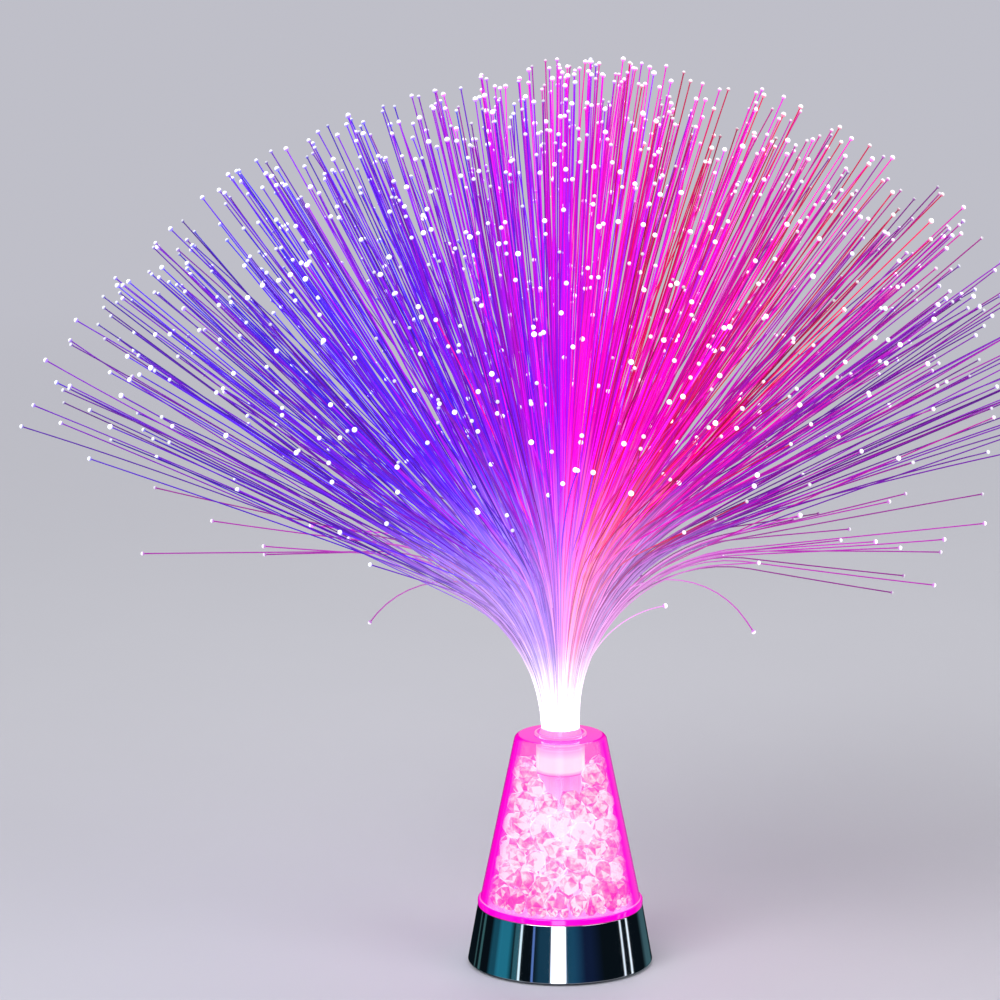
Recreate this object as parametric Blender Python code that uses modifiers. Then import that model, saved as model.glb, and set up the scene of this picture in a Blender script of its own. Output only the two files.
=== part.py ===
"""Fibre optic lamp: a chromed base with three cells and a light board, a clear cone filled with
cut stones, and a spray of clear strands that plugs into the socket on top of the cone.

Units are metres, +Z is up, and the origin is on the surface that the feet stand on, under the axis.
"""

import math
import random

import bmesh
import bpy
from mathutils import Matrix, Vector, kdtree
from mathutils.bvhtree import BVHTree

MM = 0.001

# Fits
GAP = 0.3 * MM
OVERRUN = 1.0 * MM
MERGE = 0.005 * MM

# Facets
LARGE_STEPS = 36
MIDDLE_STEPS = 24
SMALL_STEPS = 12
TINY_STEPS = 8
CORNER_STEPS = 3
FLUTE_SIDES = 6

# Chromed base, as wide as the cells' length or the switch beside them needs
BASE_ROOM = 10.55 * MM
BASE_TAPER = 3.7 * MM
BASE_HEIGHT = 21.5 * MM
BASE_WALL = 1.6 * MM
DECK_THICKNESS = 1.6 * MM
BASE_EDGE_ROUND = 0.8 * MM

# Rubber feet
FOOT_STAND = 1.0 * MM
FOOT_RADIUS = 3.0 * MM
FOOT_RECESS = 0.9 * MM
FOOT_EDGE_ROUND = 0.4 * MM
FOOT_RIM = 1.0 * MM
FOOT_ANGLE = math.radians(38.0)

# Bottom cover
COVER_INSET = 0.5 * MM
COVER_THICKNESS = 2.2 * MM
BAY_WALL = 1.2 * MM
BAY_CORNER = 3.0 * MM
DOOR_LEDGE = 1.0 * MM

# Line that the switch and the cover's screws stand on, beside the bay
SIDE_ROOM = 7.15 * MM
SIDE_LINE_INSET = 10.0 * MM

# Screws
COVER_SCREW_Y = 9.5 * MM
SCREW_RADIUS = 1.0 * MM
SCREW_HEAD_RADIUS = 2.4 * MM
SCREW_HEAD_HEIGHT = 1.2 * MM
SCREW_POINT = 1.0 * MM
COVER_SCREW_LENGTH = 10.0 * MM
SCREW_HEAD_SINK = 0.2 * MM
BOSS_WALL = 1.6 * MM
BOARD_SCREW_LENGTH = 3.6 * MM

# Cells, springs and contacts
CELL_RADIUS = 5.25 * MM
CELL_LENGTH = 44.5 * MM
CELL_SPACING = 0.6 * MM
CELL_NUB_RADIUS = 1.9 * MM
CELL_NUB_HEIGHT = 0.9 * MM
CELL_COUNT = 3
SPRING_LENGTH = 3.6 * MM
SPRING_WIRE_RADIUS = 0.25 * MM
SPRING_WIDE_RADIUS = 3.3 * MM
SPRING_NARROW_RADIUS = 2.2 * MM
SPRING_TURNS = 3
SPRING_POINTS = 8
CONTACT_THICKNESS = 0.4 * MM
CONTACT_WIDTH = 6.8 * MM
CONTACT_HEIGHT = 7.6 * MM
TAB_WIDTH = 2.6 * MM
TAB_RISE = 2.2 * MM

# Battery door
DOOR_THICKNESS = 1.6 * MM
DOOR_TAB_LENGTH = 2.2 * MM
DOOR_TAB_WIDTH = 6.0 * MM
DOOR_TAB_THICKNESS = 0.6 * MM
DOOR_TAB_SPACING = 18.0 * MM
DOOR_TAB_ROOT = 2.0 * MM
DOOR_TILT_ROOM = 0.9 * MM
LATCH_WIDTH = 9.0 * MM
LATCH_LENGTH = 7.0 * MM
LATCH_SLIT = 0.8 * MM
THUMB_RADIUS = 5.0 * MM
THUMB_DEPTH = 0.9 * MM

# Switch
SWITCH_WIDTH = 4.6 * MM
SWITCH_LENGTH = 9.0 * MM
SWITCH_HEIGHT = 4.2 * MM
SWITCH_WALL = 0.8 * MM
SWITCH_TRAVEL = 2.0 * MM
CARRIAGE_LENGTH = 3.6 * MM
CARRIAGE_HEIGHT = 1.4 * MM
KNOB_WIDTH = 1.6 * MM
KNOB_LENGTH = 2.6 * MM
KNOB_CLEARANCE = 0.6 * MM
TERMINAL_WIDTH = 0.8 * MM
TERMINAL_HEIGHT = 1.8 * MM
TERMINAL_PITCH = 2.6 * MM
CRADLE_THICKNESS = 0.9 * MM
CRADLE_HEIGHT = 3.0 * MM

# Circuit board and what it carries
BOARD_RADIUS = 19.5 * MM
BOARD_THICKNESS = 1.6 * MM
BOARD_STANDOFF = 1.8 * MM
BOARD_SCREW_Y = 15.5 * MM
BOSS_SINK = 0.8 * MM
LED_RADIUS = 2.5 * MM
LED_FLANGE_RADIUS = 2.9 * MM
LED_FLANGE_HEIGHT = 1.0 * MM
LED_HEIGHT = 8.6 * MM
LED_CIRCLE_RADIUS = 3.6 * MM
CHIP_LENGTH = 5.0 * MM
CHIP_WIDTH = 4.0 * MM
CHIP_HEIGHT = 1.4 * MM
RESISTOR_LENGTH = 3.2 * MM
RESISTOR_WIDTH = 1.6 * MM
RESISTOR_HEIGHT = 0.6 * MM
RESISTOR_PITCH = 2.6 * MM
BOARD_PART_RADIUS = 13.0 * MM

# Wires
WIRE_RADIUS = 0.6 * MM
WIRE_STEP = 3.0 * MM

# Clear cone
SHADE_HEIGHT = 66.0 * MM
SHADE_TOP_RADIUS = 17.6 * MM
SHADE_WALL = 1.8 * MM
SHADE_TOP_ROUND = 2.0 * MM
FLANGE_HEIGHT = 2.0 * MM
FLANGE_PROUD = 0.6 * MM
SHADE_FLOOR_THICKNESS = 1.2 * MM

# Socket in the top of the cone
SOCKET_BORE_RADIUS = 8.25 * MM
SOCKET_WALL = 1.0 * MM
SOCKET_DEPTH = 14.4 * MM
SOCKET_RIM_WIDTH = 1.7 * MM
SOCKET_RIM_HEIGHT = 1.0 * MM
SOCKET_LIP_WIDTH = 2.0 * MM
SOCKET_LIP_THICKNESS = 1.2 * MM

# Light tube
LIGHT_TUBE_RADIUS = 8.0 * MM
LIGHT_TUBE_WALL = 1.1 * MM
FLUTE_COUNT = 12
FLUTE_RADIUS = 0.7 * MM
FLUTE_DEPTH = 0.5 * MM
FLUTED_HEIGHT = 9.0 * MM

# Cut stones
STONE_RADIUS = 5.5 * MM
SMALLEST_STONE_RADIUS = 3.4 * MM
STONE_SPACING_SHARE = 0.74
STONE_SIZE_SHARES = (0.94, 1.0)
STONE_SEED = 7

# Strands and their potted end
STRAND_RADIUS = 0.25 * MM
BUNDLE_RADIUS = 7.1 * MM
STRAND_RINGS = 10
STRANDS_PER_RING_STEP = 5.45
STRAND_LENGTH = 257.0 * MM
BEND_LENGTH = 112.0 * MM
SPRAY_REACH = 205.0 * MM
LARGEST_SPREAD = math.radians(76.0)
SPREAD_POWER_SHARE = 1.6
INNER_BEND_SHARES = (0.4, 1.0)
OUTER_BEND_SHARES = (0.33, 0.67, 1.0)
SAMPLE_STEP = 2.0 * MM
LENGTH_SPREAD_SHARE = 0.035
ANGLE_SPREAD_SHARE = 0.28
TURN_SPREAD_SHARE = 0.15
STRAND_ROOT = 0.6 * MM
STRAND_SEED = 3
SLUG_SINK = 1.5 * MM
SLUG_FLANGE_HEIGHT = 3.5 * MM
FERRULE_WALL = 0.65 * MM

# Heights that several pieces share
BASE_TOP_Z = FOOT_STAND + BASE_HEIGHT
DECK_UNDER_Z = BASE_TOP_Z - DECK_THICKNESS
COVER_Z = FOOT_STAND + COVER_INSET
COVER_TOP_Z = COVER_Z + COVER_THICKNESS
DOOR_TOP_Z = COVER_Z + DOOR_THICKNESS
CELL_Z = DOOR_TOP_Z + GAP + CELL_RADIUS
BAY_CEILING_Z = CELL_Z + CELL_RADIUS + GAP
BAY_TOP_Z = BAY_CEILING_Z + BAY_WALL
BOARD_TOP_Z = DECK_UNDER_Z - BOARD_STANDOFF - GAP
BOARD_UNDER_Z = BOARD_TOP_Z - BOARD_THICKNESS
SHADE_Z = BASE_TOP_Z + GAP
SHADE_TOP_Z = SHADE_Z + SHADE_HEIGHT
SHADE_FLOOR_TOP_Z = SHADE_Z + SHADE_FLOOR_THICKNESS
SOCKET_UNDER_Z = SHADE_TOP_Z - SOCKET_DEPTH
SOCKET_SEAT_Z = SOCKET_UNDER_Z + SOCKET_LIP_THICKNESS
RIM_TOP_Z = SHADE_TOP_Z + SOCKET_RIM_HEIGHT
SLUG_Z = SOCKET_SEAT_Z + GAP
SLUG_TOP_Z = RIM_TOP_Z - SLUG_SINK

# Plan sizes that several pieces share
CELL_PITCH = 2 * CELL_RADIUS + CELL_SPACING
BAY_HALF_WIDTH = (CELL_COUNT - 1) * CELL_PITCH / 2 + CELL_RADIUS + GAP
CELL_SPAN = CELL_LENGTH + SPRING_LENGTH + 2 * CONTACT_THICKNESS
SIDE_LINE_X = BAY_HALF_WIDTH + BAY_WALL + SIDE_ROOM
BASE_BOTTOM_RADIUS = max(CELL_SPAN / 2 + BASE_ROOM, SIDE_LINE_X + SIDE_LINE_INSET)
BASE_TOP_RADIUS = BASE_BOTTOM_RADIUS - BASE_TAPER
BAY_HALF_LENGTH = CELL_SPAN / 2 + 5 * GAP / 2
CONTACT_FACE_Y = BAY_HALF_LENGTH - GAP - CONTACT_THICKNESS
REBATE_HALF_WIDTH = BAY_HALF_WIDTH + DOOR_LEDGE
REBATE_HALF_LENGTH = BAY_HALF_LENGTH + DOOR_LEDGE
SOCKET_OUTER_RADIUS = SOCKET_BORE_RADIUS + SOCKET_WALL
PLUG_RADIUS = SOCKET_BORE_RADIUS - GAP
DECK_HOLE_RADIUS = LIGHT_TUBE_RADIUS + GAP

# Colours
CHROME = ((0.55, 0.58, 0.62), 0.08, 1.0)
CLEAR_PINK = ((0.95, 0.15, 0.85), 0.1, 0.0)
STONE_PINK = ((1.0, 0.55, 0.9), 0.08, 0.0)
CLEAR_PLASTIC = ((0.9, 0.85, 0.95), 0.12, 0.0)
STRAND_VIOLET = ((0.75, 0.4, 1.0), 0.2, 0.0)
BLACK_PLASTIC = ((0.02, 0.02, 0.022), 0.45, 0.0)
RUBBER = ((0.015, 0.015, 0.015), 0.85, 0.0)
STEEL = ((0.6, 0.6, 0.58), 0.3, 1.0)
BOARD_GREEN = ((0.02, 0.2, 0.07), 0.5, 0.0)
CELL_JACKET = ((0.05, 0.05, 0.06), 0.35, 0.3)
LED_RED = ((0.9, 0.05, 0.05), 0.1, 0.0)
LED_GREEN = ((0.05, 0.8, 0.1), 0.1, 0.0)
LED_BLUE = ((0.05, 0.1, 0.95), 0.1, 0.0)
LED_LOOKS = {"red": LED_RED, "green": LED_GREEN, "blue": LED_BLUE}
WIRE_RED = ((0.6, 0.02, 0.02), 0.5, 0.0)
WIRE_BLACK = ((0.02, 0.02, 0.02), 0.5, 0.0)
WIRE_WHITE = ((0.8, 0.8, 0.78), 0.5, 0.0)

# Routes of the wires inside the base, in millimetres from the solder point named before each stretch
WIRE_ROUTES = {
    "wire_positive": (
        WIRE_RED,
        {
            "positive_tab": [(0.0, -0.3, 1.1), (0.2, -1.9, 1.3), (2.9, -3.6, 1.8)],
            "outer_terminal": [
                (-6.2, 14.6, 8.8),
                (-4.4, 9.8, 7.2),
                (-4.4, 4.4, 4.0),
                (-3.8, 1.2, 1.8),
                (-2.0, 0.1, 1.1),
                (-0.3, 0.0, 1.1),
            ],
        },
    ),
    "wire_switch": (
        WIRE_WHITE,
        {
            "middle_terminal": [
                (-0.3, 0.0, 1.1),
                (-1.8, -0.1, 1.2),
                (-3.6, -0.5, 2.4),
                (-4.4, -1.0, 5.0),
            ],
            "board_edge": [(-0.1, -1.4, -1.8), (-0.8, -1.5, -0.3)],
        },
    ),
    "wire_negative": (
        WIRE_BLACK,
        {
            "negative_tab": [(0.0, 0.3, 0.9), (0.0, 2.5, 0.9), (0.9, 6.5, 0.9)],
            "board_middle": [(-8.4, -14.6, -0.9), (-7.6, -12.0, -0.9)],
        },
    ),
}

PARTS = "fiber_optic_lamp"
CUTTERS = "cutters"


def clear_scene():
    """Empties the file of objects and of collections that a former run left."""
    for old in list(bpy.data.objects):
        bpy.data.objects.remove(old, do_unlink=True)
    for old in list(bpy.data.collections):
        bpy.data.collections.remove(old)
    for name in (PARTS, CUTTERS):
        bpy.context.scene.collection.children.link(bpy.data.collections.new(name))


def dress(part, look):
    """Gives a part its own Principled material and puts it in the lamp's collection."""
    colour, roughness, metallic = look
    material = bpy.data.materials.new(part.name)
    material.use_nodes = True
    shader = material.node_tree.nodes["Principled BSDF"]
    shader.inputs["Base Color"].default_value = (*colour, 1.0)
    shader.inputs["Roughness"].default_value = roughness
    shader.inputs["Metallic"].default_value = metallic
    material.diffuse_color = (*colour, 1.0)
    part.data.materials.clear()
    part.data.materials.append(material)
    bpy.data.collections[PARTS].objects.link(part)
    return part


def as_cutter(shape):
    """Marks a shape as a tool for a Boolean."""
    shape.hide_render = True
    shape.display_type = "WIRE"
    bpy.data.collections[CUTTERS].objects.link(shape)
    return shape


def boolean(part, shape, operation):
    """Cuts a shape out of a part, or joins it on."""
    step = part.modifiers.new(f"{operation} {shape.name}", "BOOLEAN")
    step.operation = operation
    step.solver = "EXACT"
    step.object = shape


def cut(part, *shapes):
    for shape in shapes:
        boolean(part, as_cutter(shape), "DIFFERENCE")


def join(part, *shapes):
    for shape in shapes:
        boolean(part, as_cutter(shape), "UNION")


def from_bmesh(name, build):
    mesh = bpy.data.meshes.new(name)
    build.to_mesh(mesh)
    build.free()
    return bpy.data.objects.new(name, mesh)


def box(name, low, high):
    """A box between two corners."""
    low, high = Vector(low), Vector(high)
    build = bmesh.new()
    size = Matrix.Diagonal((*(high - low), 1.0))
    bmesh.ops.create_cube(build, size=1.0, matrix=Matrix.Translation((low + high) / 2) @ size)
    return from_bmesh(name, build)


def cylinders(name, radius, bottom, top, places, sides):
    """Upright cylinders at one or more places, in one mesh."""
    build = bmesh.new()
    for x, y in places:
        bmesh.ops.create_cone(
            build,
            cap_ends=True,
            segments=sides,
            radius1=radius,
            radius2=radius,
            depth=top - bottom,
            matrix=Matrix.Translation((x, y, (bottom + top) / 2)),
        )
    return from_bmesh(name, build)


def turned(name, profile, steps, closed=False):
    """A solid of revolution: the profile is (radius, height), down the outer side."""
    mesh = bpy.data.meshes.new(name)
    points = [(radius, 0.0, height) for radius, height in profile]
    edges = [(i, i + 1) for i in range(len(points) - 1)]
    if closed:
        edges.append((len(points) - 1, 0))
    mesh.from_pydata(points, edges, [])
    part = bpy.data.objects.new(name, mesh)
    screw = part.modifiers.new("turn", "SCREW")
    screw.steps = steps
    screw.render_steps = steps
    screw.use_merge_vertices = True
    screw.merge_threshold = MERGE
    screw.use_smooth_shade = True
    return part


def arc(centre, radius, start, end, steps):
    """Points of an arc in a plane, from one angle to another, both ends included."""
    angles = [start + (end - start) * i / steps for i in range(steps + 1)]
    return [(centre[0] + radius * math.cos(a), centre[1] + radius * math.sin(a)) for a in angles]


def rounded_rectangle(half_width, half_length, corner):
    """The outline of a rectangle with round corners, anticlockwise."""
    points = []
    for quarter, (sx, sy) in enumerate(((1, 1), (-1, 1), (-1, -1), (1, -1))):
        centre = (sx * (half_width - corner), sy * (half_length - corner))
        start = quarter * math.pi / 2
        points += arc(centre, corner, start, start + math.pi / 2, CORNER_STEPS)
    return points


def plate(name, outline, bottom, top):
    """A flat outline made thick, as a mesh."""
    curve = bpy.data.curves.new(name, "CURVE")
    curve.dimensions = "2D"
    curve.fill_mode = "BOTH"
    curve.extrude = (top - bottom) / 2
    spline = curve.splines.new("POLY")
    spline.points.add(len(outline) - 1)
    for point, (x, y) in zip(spline.points, outline):
        point.co = (x, y, 0.0, 1.0)
    spline.use_cyclic_u = True
    return curve_to_mesh(name, curve, Matrix.Translation((0.0, 0.0, (bottom + top) / 2)))


def curve_to_mesh(name, curve, place):
    """Reads a curve as a mesh with its caps welded on."""
    guide = bpy.data.objects.new(name + "_guide", curve)
    guide.matrix_world = place
    bpy.data.collections[CUTTERS].objects.link(guide)
    bpy.context.view_layer.update()
    seen = guide.evaluated_get(bpy.context.evaluated_depsgraph_get())
    mesh = bpy.data.meshes.new_from_object(seen)
    build = bmesh.new()
    build.from_mesh(mesh)
    bmesh.ops.remove_doubles(build, verts=build.verts, dist=MERGE)
    bmesh.ops.recalc_face_normals(build, faces=build.faces)
    build.to_mesh(mesh)
    build.free()
    mesh.name = name
    part = bpy.data.objects.new(name, mesh)
    part.matrix_world = place
    bpy.data.objects.remove(guide)
    return part


def tube(name, points, radius, resolution):
    """A round wire through the points, with closed ends."""
    curve = bpy.data.curves.new(name, "CURVE")
    curve.dimensions = "3D"
    curve.bevel_depth = radius
    curve.bevel_resolution = resolution
    curve.use_fill_caps = True
    spline = curve.splines.new("POLY")
    spline.points.add(len(points) - 1)
    for point, place in zip(spline.points, points):
        point.co = (*place, 1.0)
    return curve_to_mesh(name, curve, Matrix.Identity(4))


def smooth_route(route, step):
    """Points about a step apart on a smooth curve through the route's own points."""
    route = [Vector(p) for p in route]
    ends = [2 * route[0] - route[1], *route, 2 * route[-1] - route[-2]]
    points = []
    for a, b, c, d in zip(ends, ends[1:], ends[2:], ends[3:]):
        count = max(1, round((c - b).length / step))
        for i in range(count):
            t = i / count
            pull = -a + 3 * b - 3 * c + d
            bend = 2 * a - 5 * b + 4 * c - d
            points.append((2 * b + t * (c - a) + t * t * bend + t**3 * pull) / 2)
    return [*points, route[-1]]


def outer_radius(z):
    """Radius of the base's outer face at a height."""
    share = (z - FOOT_STAND) / BASE_HEIGHT
    return BASE_BOTTOM_RADIUS + (BASE_TOP_RADIUS - BASE_BOTTOM_RADIUS) * share


def shade_radius(z):
    """Radius of the cone's outer face at a height."""
    share = (z - SHADE_Z) / SHADE_HEIGHT
    foot = BASE_TOP_RADIUS - FLANGE_PROUD
    return foot + (SHADE_TOP_RADIUS - foot) * share


def cover_radius():
    return outer_radius(COVER_TOP_Z) - BASE_WALL - GAP


def corner_places(x, y):
    return [(sx * x, sy * y) for sx, sy in ((1, 1), (-1, 1), (-1, -1), (1, -1))]


def foot_places():
    circle = cover_radius() - FOOT_RIM - FOOT_RADIUS
    return corner_places(circle * math.cos(FOOT_ANGLE), circle * math.sin(FOOT_ANGLE))


def board_screw_places():
    return [(0.0, BOARD_SCREW_Y), (0.0, -BOARD_SCREW_Y)]


def make_base():
    """The chromed skirt with its deck, and the bosses that hang from the deck."""
    edge = BASE_EDGE_ROUND
    corner = arc((BASE_TOP_RADIUS - edge, BASE_TOP_Z - edge), edge, math.pi / 2, 0.0, CORNER_STEPS)
    profile = [
        (DECK_HOLE_RADIUS, BASE_TOP_Z),
        *corner,
        (BASE_BOTTOM_RADIUS, FOOT_STAND),
        (BASE_BOTTOM_RADIUS - BASE_WALL, FOOT_STAND),
        (outer_radius(DECK_UNDER_Z) - BASE_WALL, DECK_UNDER_Z),
        (DECK_HOLE_RADIUS, DECK_UNDER_Z),
    ]
    base = dress(turned("chrome_base", profile, LARGE_STEPS, closed=True), CHROME)
    bore = SCREW_RADIUS + GAP
    root = DECK_UNDER_Z + DECK_THICKNESS / 2
    sides = TINY_STEPS
    cover_places = corner_places(SIDE_LINE_X, COVER_SCREW_Y)
    join(
        base,
        cylinders("cover_bosses", bore + BOSS_WALL, COVER_TOP_Z + GAP, root, cover_places, sides),
        cylinders(
            "board_bosses", bore + BOSS_WALL, BOARD_TOP_Z + GAP, root, board_screw_places(), sides
        ),
    )
    cover_bore_top = COVER_Z + SCREW_HEAD_HEIGHT + COVER_SCREW_LENGTH + BOSS_SINK
    cut(
        base,
        cylinders("cover_bores", bore, COVER_TOP_Z - OVERRUN, cover_bore_top, cover_places, sides),
        cylinders(
            "board_bores",
            bore,
            BOARD_TOP_Z - OVERRUN,
            DECK_UNDER_Z + BOSS_SINK,
            board_screw_places(),
            sides,
        ),
    )


def make_cover():
    """The bottom cover with the battery bay, the switch slot and the seats for feet and screws."""
    outline = arc((0.0, 0.0), cover_radius(), 0.0, math.tau, LARGE_STEPS)[:-1]
    cover = dress(plate("bottom_cover", outline, COVER_Z, COVER_TOP_Z), BLACK_PLASTIC)
    wall_outline = rounded_rectangle(
        BAY_HALF_WIDTH + BAY_WALL, BAY_HALF_LENGTH + BAY_WALL, BAY_CORNER + BAY_WALL
    )
    join(cover, plate("bay_walls", wall_outline, COVER_Z + COVER_THICKNESS / 2, BAY_TOP_Z))
    cradle_y = SWITCH_LENGTH / 2 + GAP
    for side in (-1, 1):
        ends = sorted((side * cradle_y, side * (cradle_y + CRADLE_THICKNESS)))
        low = (SIDE_LINE_X - SWITCH_WIDTH / 2, ends[0], COVER_Z + COVER_THICKNESS / 2)
        high = (SIDE_LINE_X + SWITCH_WIDTH / 2, ends[1], COVER_TOP_Z + CRADLE_HEIGHT)
        join(cover, box(f"cradle_{side}", low, high))
    bay = rounded_rectangle(BAY_HALF_WIDTH, BAY_HALF_LENGTH, BAY_CORNER)
    rebate = rounded_rectangle(REBATE_HALF_WIDTH, REBATE_HALF_LENGTH, BAY_CORNER + DOOR_LEDGE)
    sink_z = COVER_Z + SCREW_HEAD_SINK + SCREW_HEAD_HEIGHT + GAP
    places = corner_places(SIDE_LINE_X, COVER_SCREW_Y)
    slot_x = KNOB_WIDTH / 2 + GAP
    slot_y = (KNOB_LENGTH + SWITCH_TRAVEL) / 2 + GAP
    cut(
        cover,
        plate("bay_space", bay, COVER_Z - OVERRUN, BAY_CEILING_Z),
        plate("door_rebate", rebate, COVER_Z - OVERRUN, DOOR_TOP_Z + GAP),
        cylinders(
            "screw_holes", SCREW_RADIUS + GAP, COVER_Z, COVER_TOP_Z + OVERRUN, places, TINY_STEPS
        ),
        cylinders(
            "screw_sinks", SCREW_HEAD_RADIUS + GAP, COVER_Z - OVERRUN, sink_z, places, TINY_STEPS
        ),
        cylinders(
            "foot_recesses",
            FOOT_RADIUS + GAP,
            COVER_Z - OVERRUN,
            COVER_Z + FOOT_RECESS,
            foot_places(),
            SMALL_STEPS,
        ),
        cylinders(
            "thumb_recess",
            THUMB_RADIUS,
            COVER_Z - OVERRUN,
            COVER_Z + THUMB_DEPTH,
            [(0.0, REBATE_HALF_LENGTH)],
            MIDDLE_STEPS,
        ),
        box(
            "knob_slot",
            (SIDE_LINE_X - slot_x, -slot_y, COVER_Z - OVERRUN),
            (SIDE_LINE_X + slot_x, slot_y, COVER_TOP_Z + OVERRUN),
        ),
    )
    tab_z = DOOR_TOP_Z - DOOR_TAB_THICKNESS - GAP
    for x in (-DOOR_TAB_SPACING / 2, DOOR_TAB_SPACING / 2):
        half = DOOR_TAB_WIDTH / 2 + GAP
        low = (x - half, -REBATE_HALF_LENGTH - DOOR_TAB_LENGTH - GAP, tab_z)
        high = (x + half, -REBATE_HALF_LENGTH + GAP, COVER_TOP_Z + OVERRUN)
        wall_y = -BAY_HALF_LENGTH - BAY_WALL
        way_low = (low[0], wall_y - GAP, tab_z)
        way_high = (high[0], high[1], DOOR_TOP_Z + DOOR_TILT_ROOM)
        cut(cover, box(f"tab_pocket_{x > 0}", low, (high[0], wall_y, high[2])))
        cut(cover, box(f"tab_way_{x > 0}", way_low, way_high))
    for cell, side in ((CELL_COUNT - 1, 1), (0, -1)):
        x = cell_x(cell)
        face = side * CONTACT_FACE_Y
        ends = sorted((face - side * GAP, face + side * (CONTACT_THICKNESS + GAP)))
        half = TAB_WIDTH / 2 + GAP
        low = (x - half, ends[0], BAY_CEILING_Z - OVERRUN)
        cut(cover, box(f"contact_slot_{cell}", low, (x + half, ends[1], BAY_TOP_Z + OVERRUN)))


def make_door():
    """The battery door: a plate with two tabs on one edge and a springy latch on the other."""
    half_width = REBATE_HALF_WIDTH - GAP
    half_length = REBATE_HALF_LENGTH - GAP
    outline = rounded_rectangle(half_width, half_length, BAY_CORNER + DOOR_LEDGE - GAP)
    door = dress(plate("battery_door", outline, COVER_Z, DOOR_TOP_Z), BLACK_PLASTIC)
    tab_z = DOOR_TOP_Z - DOOR_TAB_THICKNESS
    for x in (-DOOR_TAB_SPACING / 2, DOOR_TAB_SPACING / 2):
        low = (x - DOOR_TAB_WIDTH / 2, -half_length - DOOR_TAB_LENGTH, tab_z)
        high = (x + DOOR_TAB_WIDTH / 2, -half_length + DOOR_TAB_ROOT, DOOR_TOP_Z)
        join(door, box(f"door_tab_{x > 0}", low, high))
    for side in (-1, 1):
        ends = sorted((side * LATCH_WIDTH / 2, side * (LATCH_WIDTH / 2 + LATCH_SLIT)))
        low = (ends[0], half_length - LATCH_LENGTH, COVER_Z - OVERRUN)
        high = (ends[1], half_length + OVERRUN, DOOR_TOP_Z + OVERRUN)
        cut(door, box(f"latch_slit_{side}", low, high))


def cell_x(index):
    return (index - (CELL_COUNT - 1) / 2) * CELL_PITCH


def cell_side(index):
    """+1 where the cell's nub points to +Y, -1 where it points to -Y."""
    return 1 if (CELL_COUNT - 1 - index) % 2 == 0 else -1


def make_cells():
    """Three cells lying in Y, each turned end for end from its neighbour."""
    shoulder = CELL_LENGTH - CELL_NUB_HEIGHT
    profile = [
        (0.0, CELL_LENGTH),
        (CELL_NUB_RADIUS, CELL_LENGTH),
        (CELL_NUB_RADIUS, shoulder),
        (CELL_RADIUS, shoulder),
        (CELL_RADIUS, 0.0),
        (0.0, 0.0),
    ]
    for index in range(CELL_COUNT):
        side = cell_side(index)
        cell = dress(turned(f"battery_cell_{index + 1}", profile, SMALL_STEPS), CELL_JACKET)
        cell.location = (cell_x(index), side * (CONTACT_FACE_Y - GAP - CELL_LENGTH), CELL_Z)
        cell.rotation_euler = (-side * math.pi / 2, 0.0, 0.0)


def make_springs():
    """The conical spring behind each cell's flat end, one unbroken helix each."""
    count = SPRING_TURNS * SPRING_POINTS
    rise = SPRING_LENGTH - 2 * GAP - 2 * SPRING_WIRE_RADIUS
    helix = []
    for i in range(count + 1):
        share = i / count
        radius = SPRING_WIDE_RADIUS + (SPRING_NARROW_RADIUS - SPRING_WIDE_RADIUS) * share
        turn = math.tau * i / SPRING_POINTS
        helix.append(Vector((radius * math.cos(turn), radius * math.sin(turn), rise * share)))
    pairs = zip(helix, helix[SPRING_POINTS:])
    least = min((a - b).length for a, b in pairs) - 2 * SPRING_WIRE_RADIUS
    print(f"least gap between a spring's turns: {least / MM:.2f} mm")
    for index in range(CELL_COUNT):
        side = cell_side(index)
        name = f"battery_spring_{index + 1}"
        spring = dress(tube(name, helix, SPRING_WIRE_RADIUS, 0), STEEL)
        start = side * (GAP + SPRING_WIRE_RADIUS - CONTACT_FACE_Y)
        spring.location = (cell_x(index), start, CELL_Z)
        spring.rotation_euler = (-side * math.pi / 2, 0.0, 0.0)


def contact(name, side, left, right, tab_at=None):
    """A contact plate against one end wall of the bay, with or without a solder tab."""
    bottom = CELL_Z - CONTACT_HEIGHT / 2
    top = CELL_Z + CONTACT_HEIGHT / 2
    ends = sorted((side * CONTACT_FACE_Y, side * (CONTACT_FACE_Y + CONTACT_THICKNESS)))
    half = CONTACT_WIDTH / 2
    part = dress(box(name, (left - half, ends[0], bottom), (right + half, ends[1], top)), STEEL)
    if tab_at is not None:
        low = (tab_at - TAB_WIDTH / 2, ends[0], CELL_Z)
        join(part, box(name + "_tab", low, (tab_at + TAB_WIDTH / 2, ends[1], BAY_TOP_Z + TAB_RISE)))


def make_contacts():
    """The plates that join the cells in a row, and the two that lead out."""
    last = CELL_COUNT - 1
    contact("contact_positive", 1, cell_x(last), cell_x(last), tab_at=cell_x(last))
    contact("contact_negative", -1, cell_x(0), cell_x(0), tab_at=cell_x(0))
    for index in range(last):
        side = -cell_side(index + 1)
        contact(f"contact_bridge_{index + 1}", side, cell_x(index), cell_x(index + 1))


def screw_profile(length):
    """A pan head below and a pointed shank above, top to bottom."""
    head = SCREW_HEAD_HEIGHT
    rim = head / 2
    return [
        (0.0, head + length),
        (SCREW_RADIUS, head + length - SCREW_POINT),
        (SCREW_RADIUS, head),
        (SCREW_HEAD_RADIUS, head),
        (SCREW_HEAD_RADIUS, rim),
        (SCREW_HEAD_RADIUS - rim, 0.0),
        (0.0, 0.0),
    ]


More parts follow.
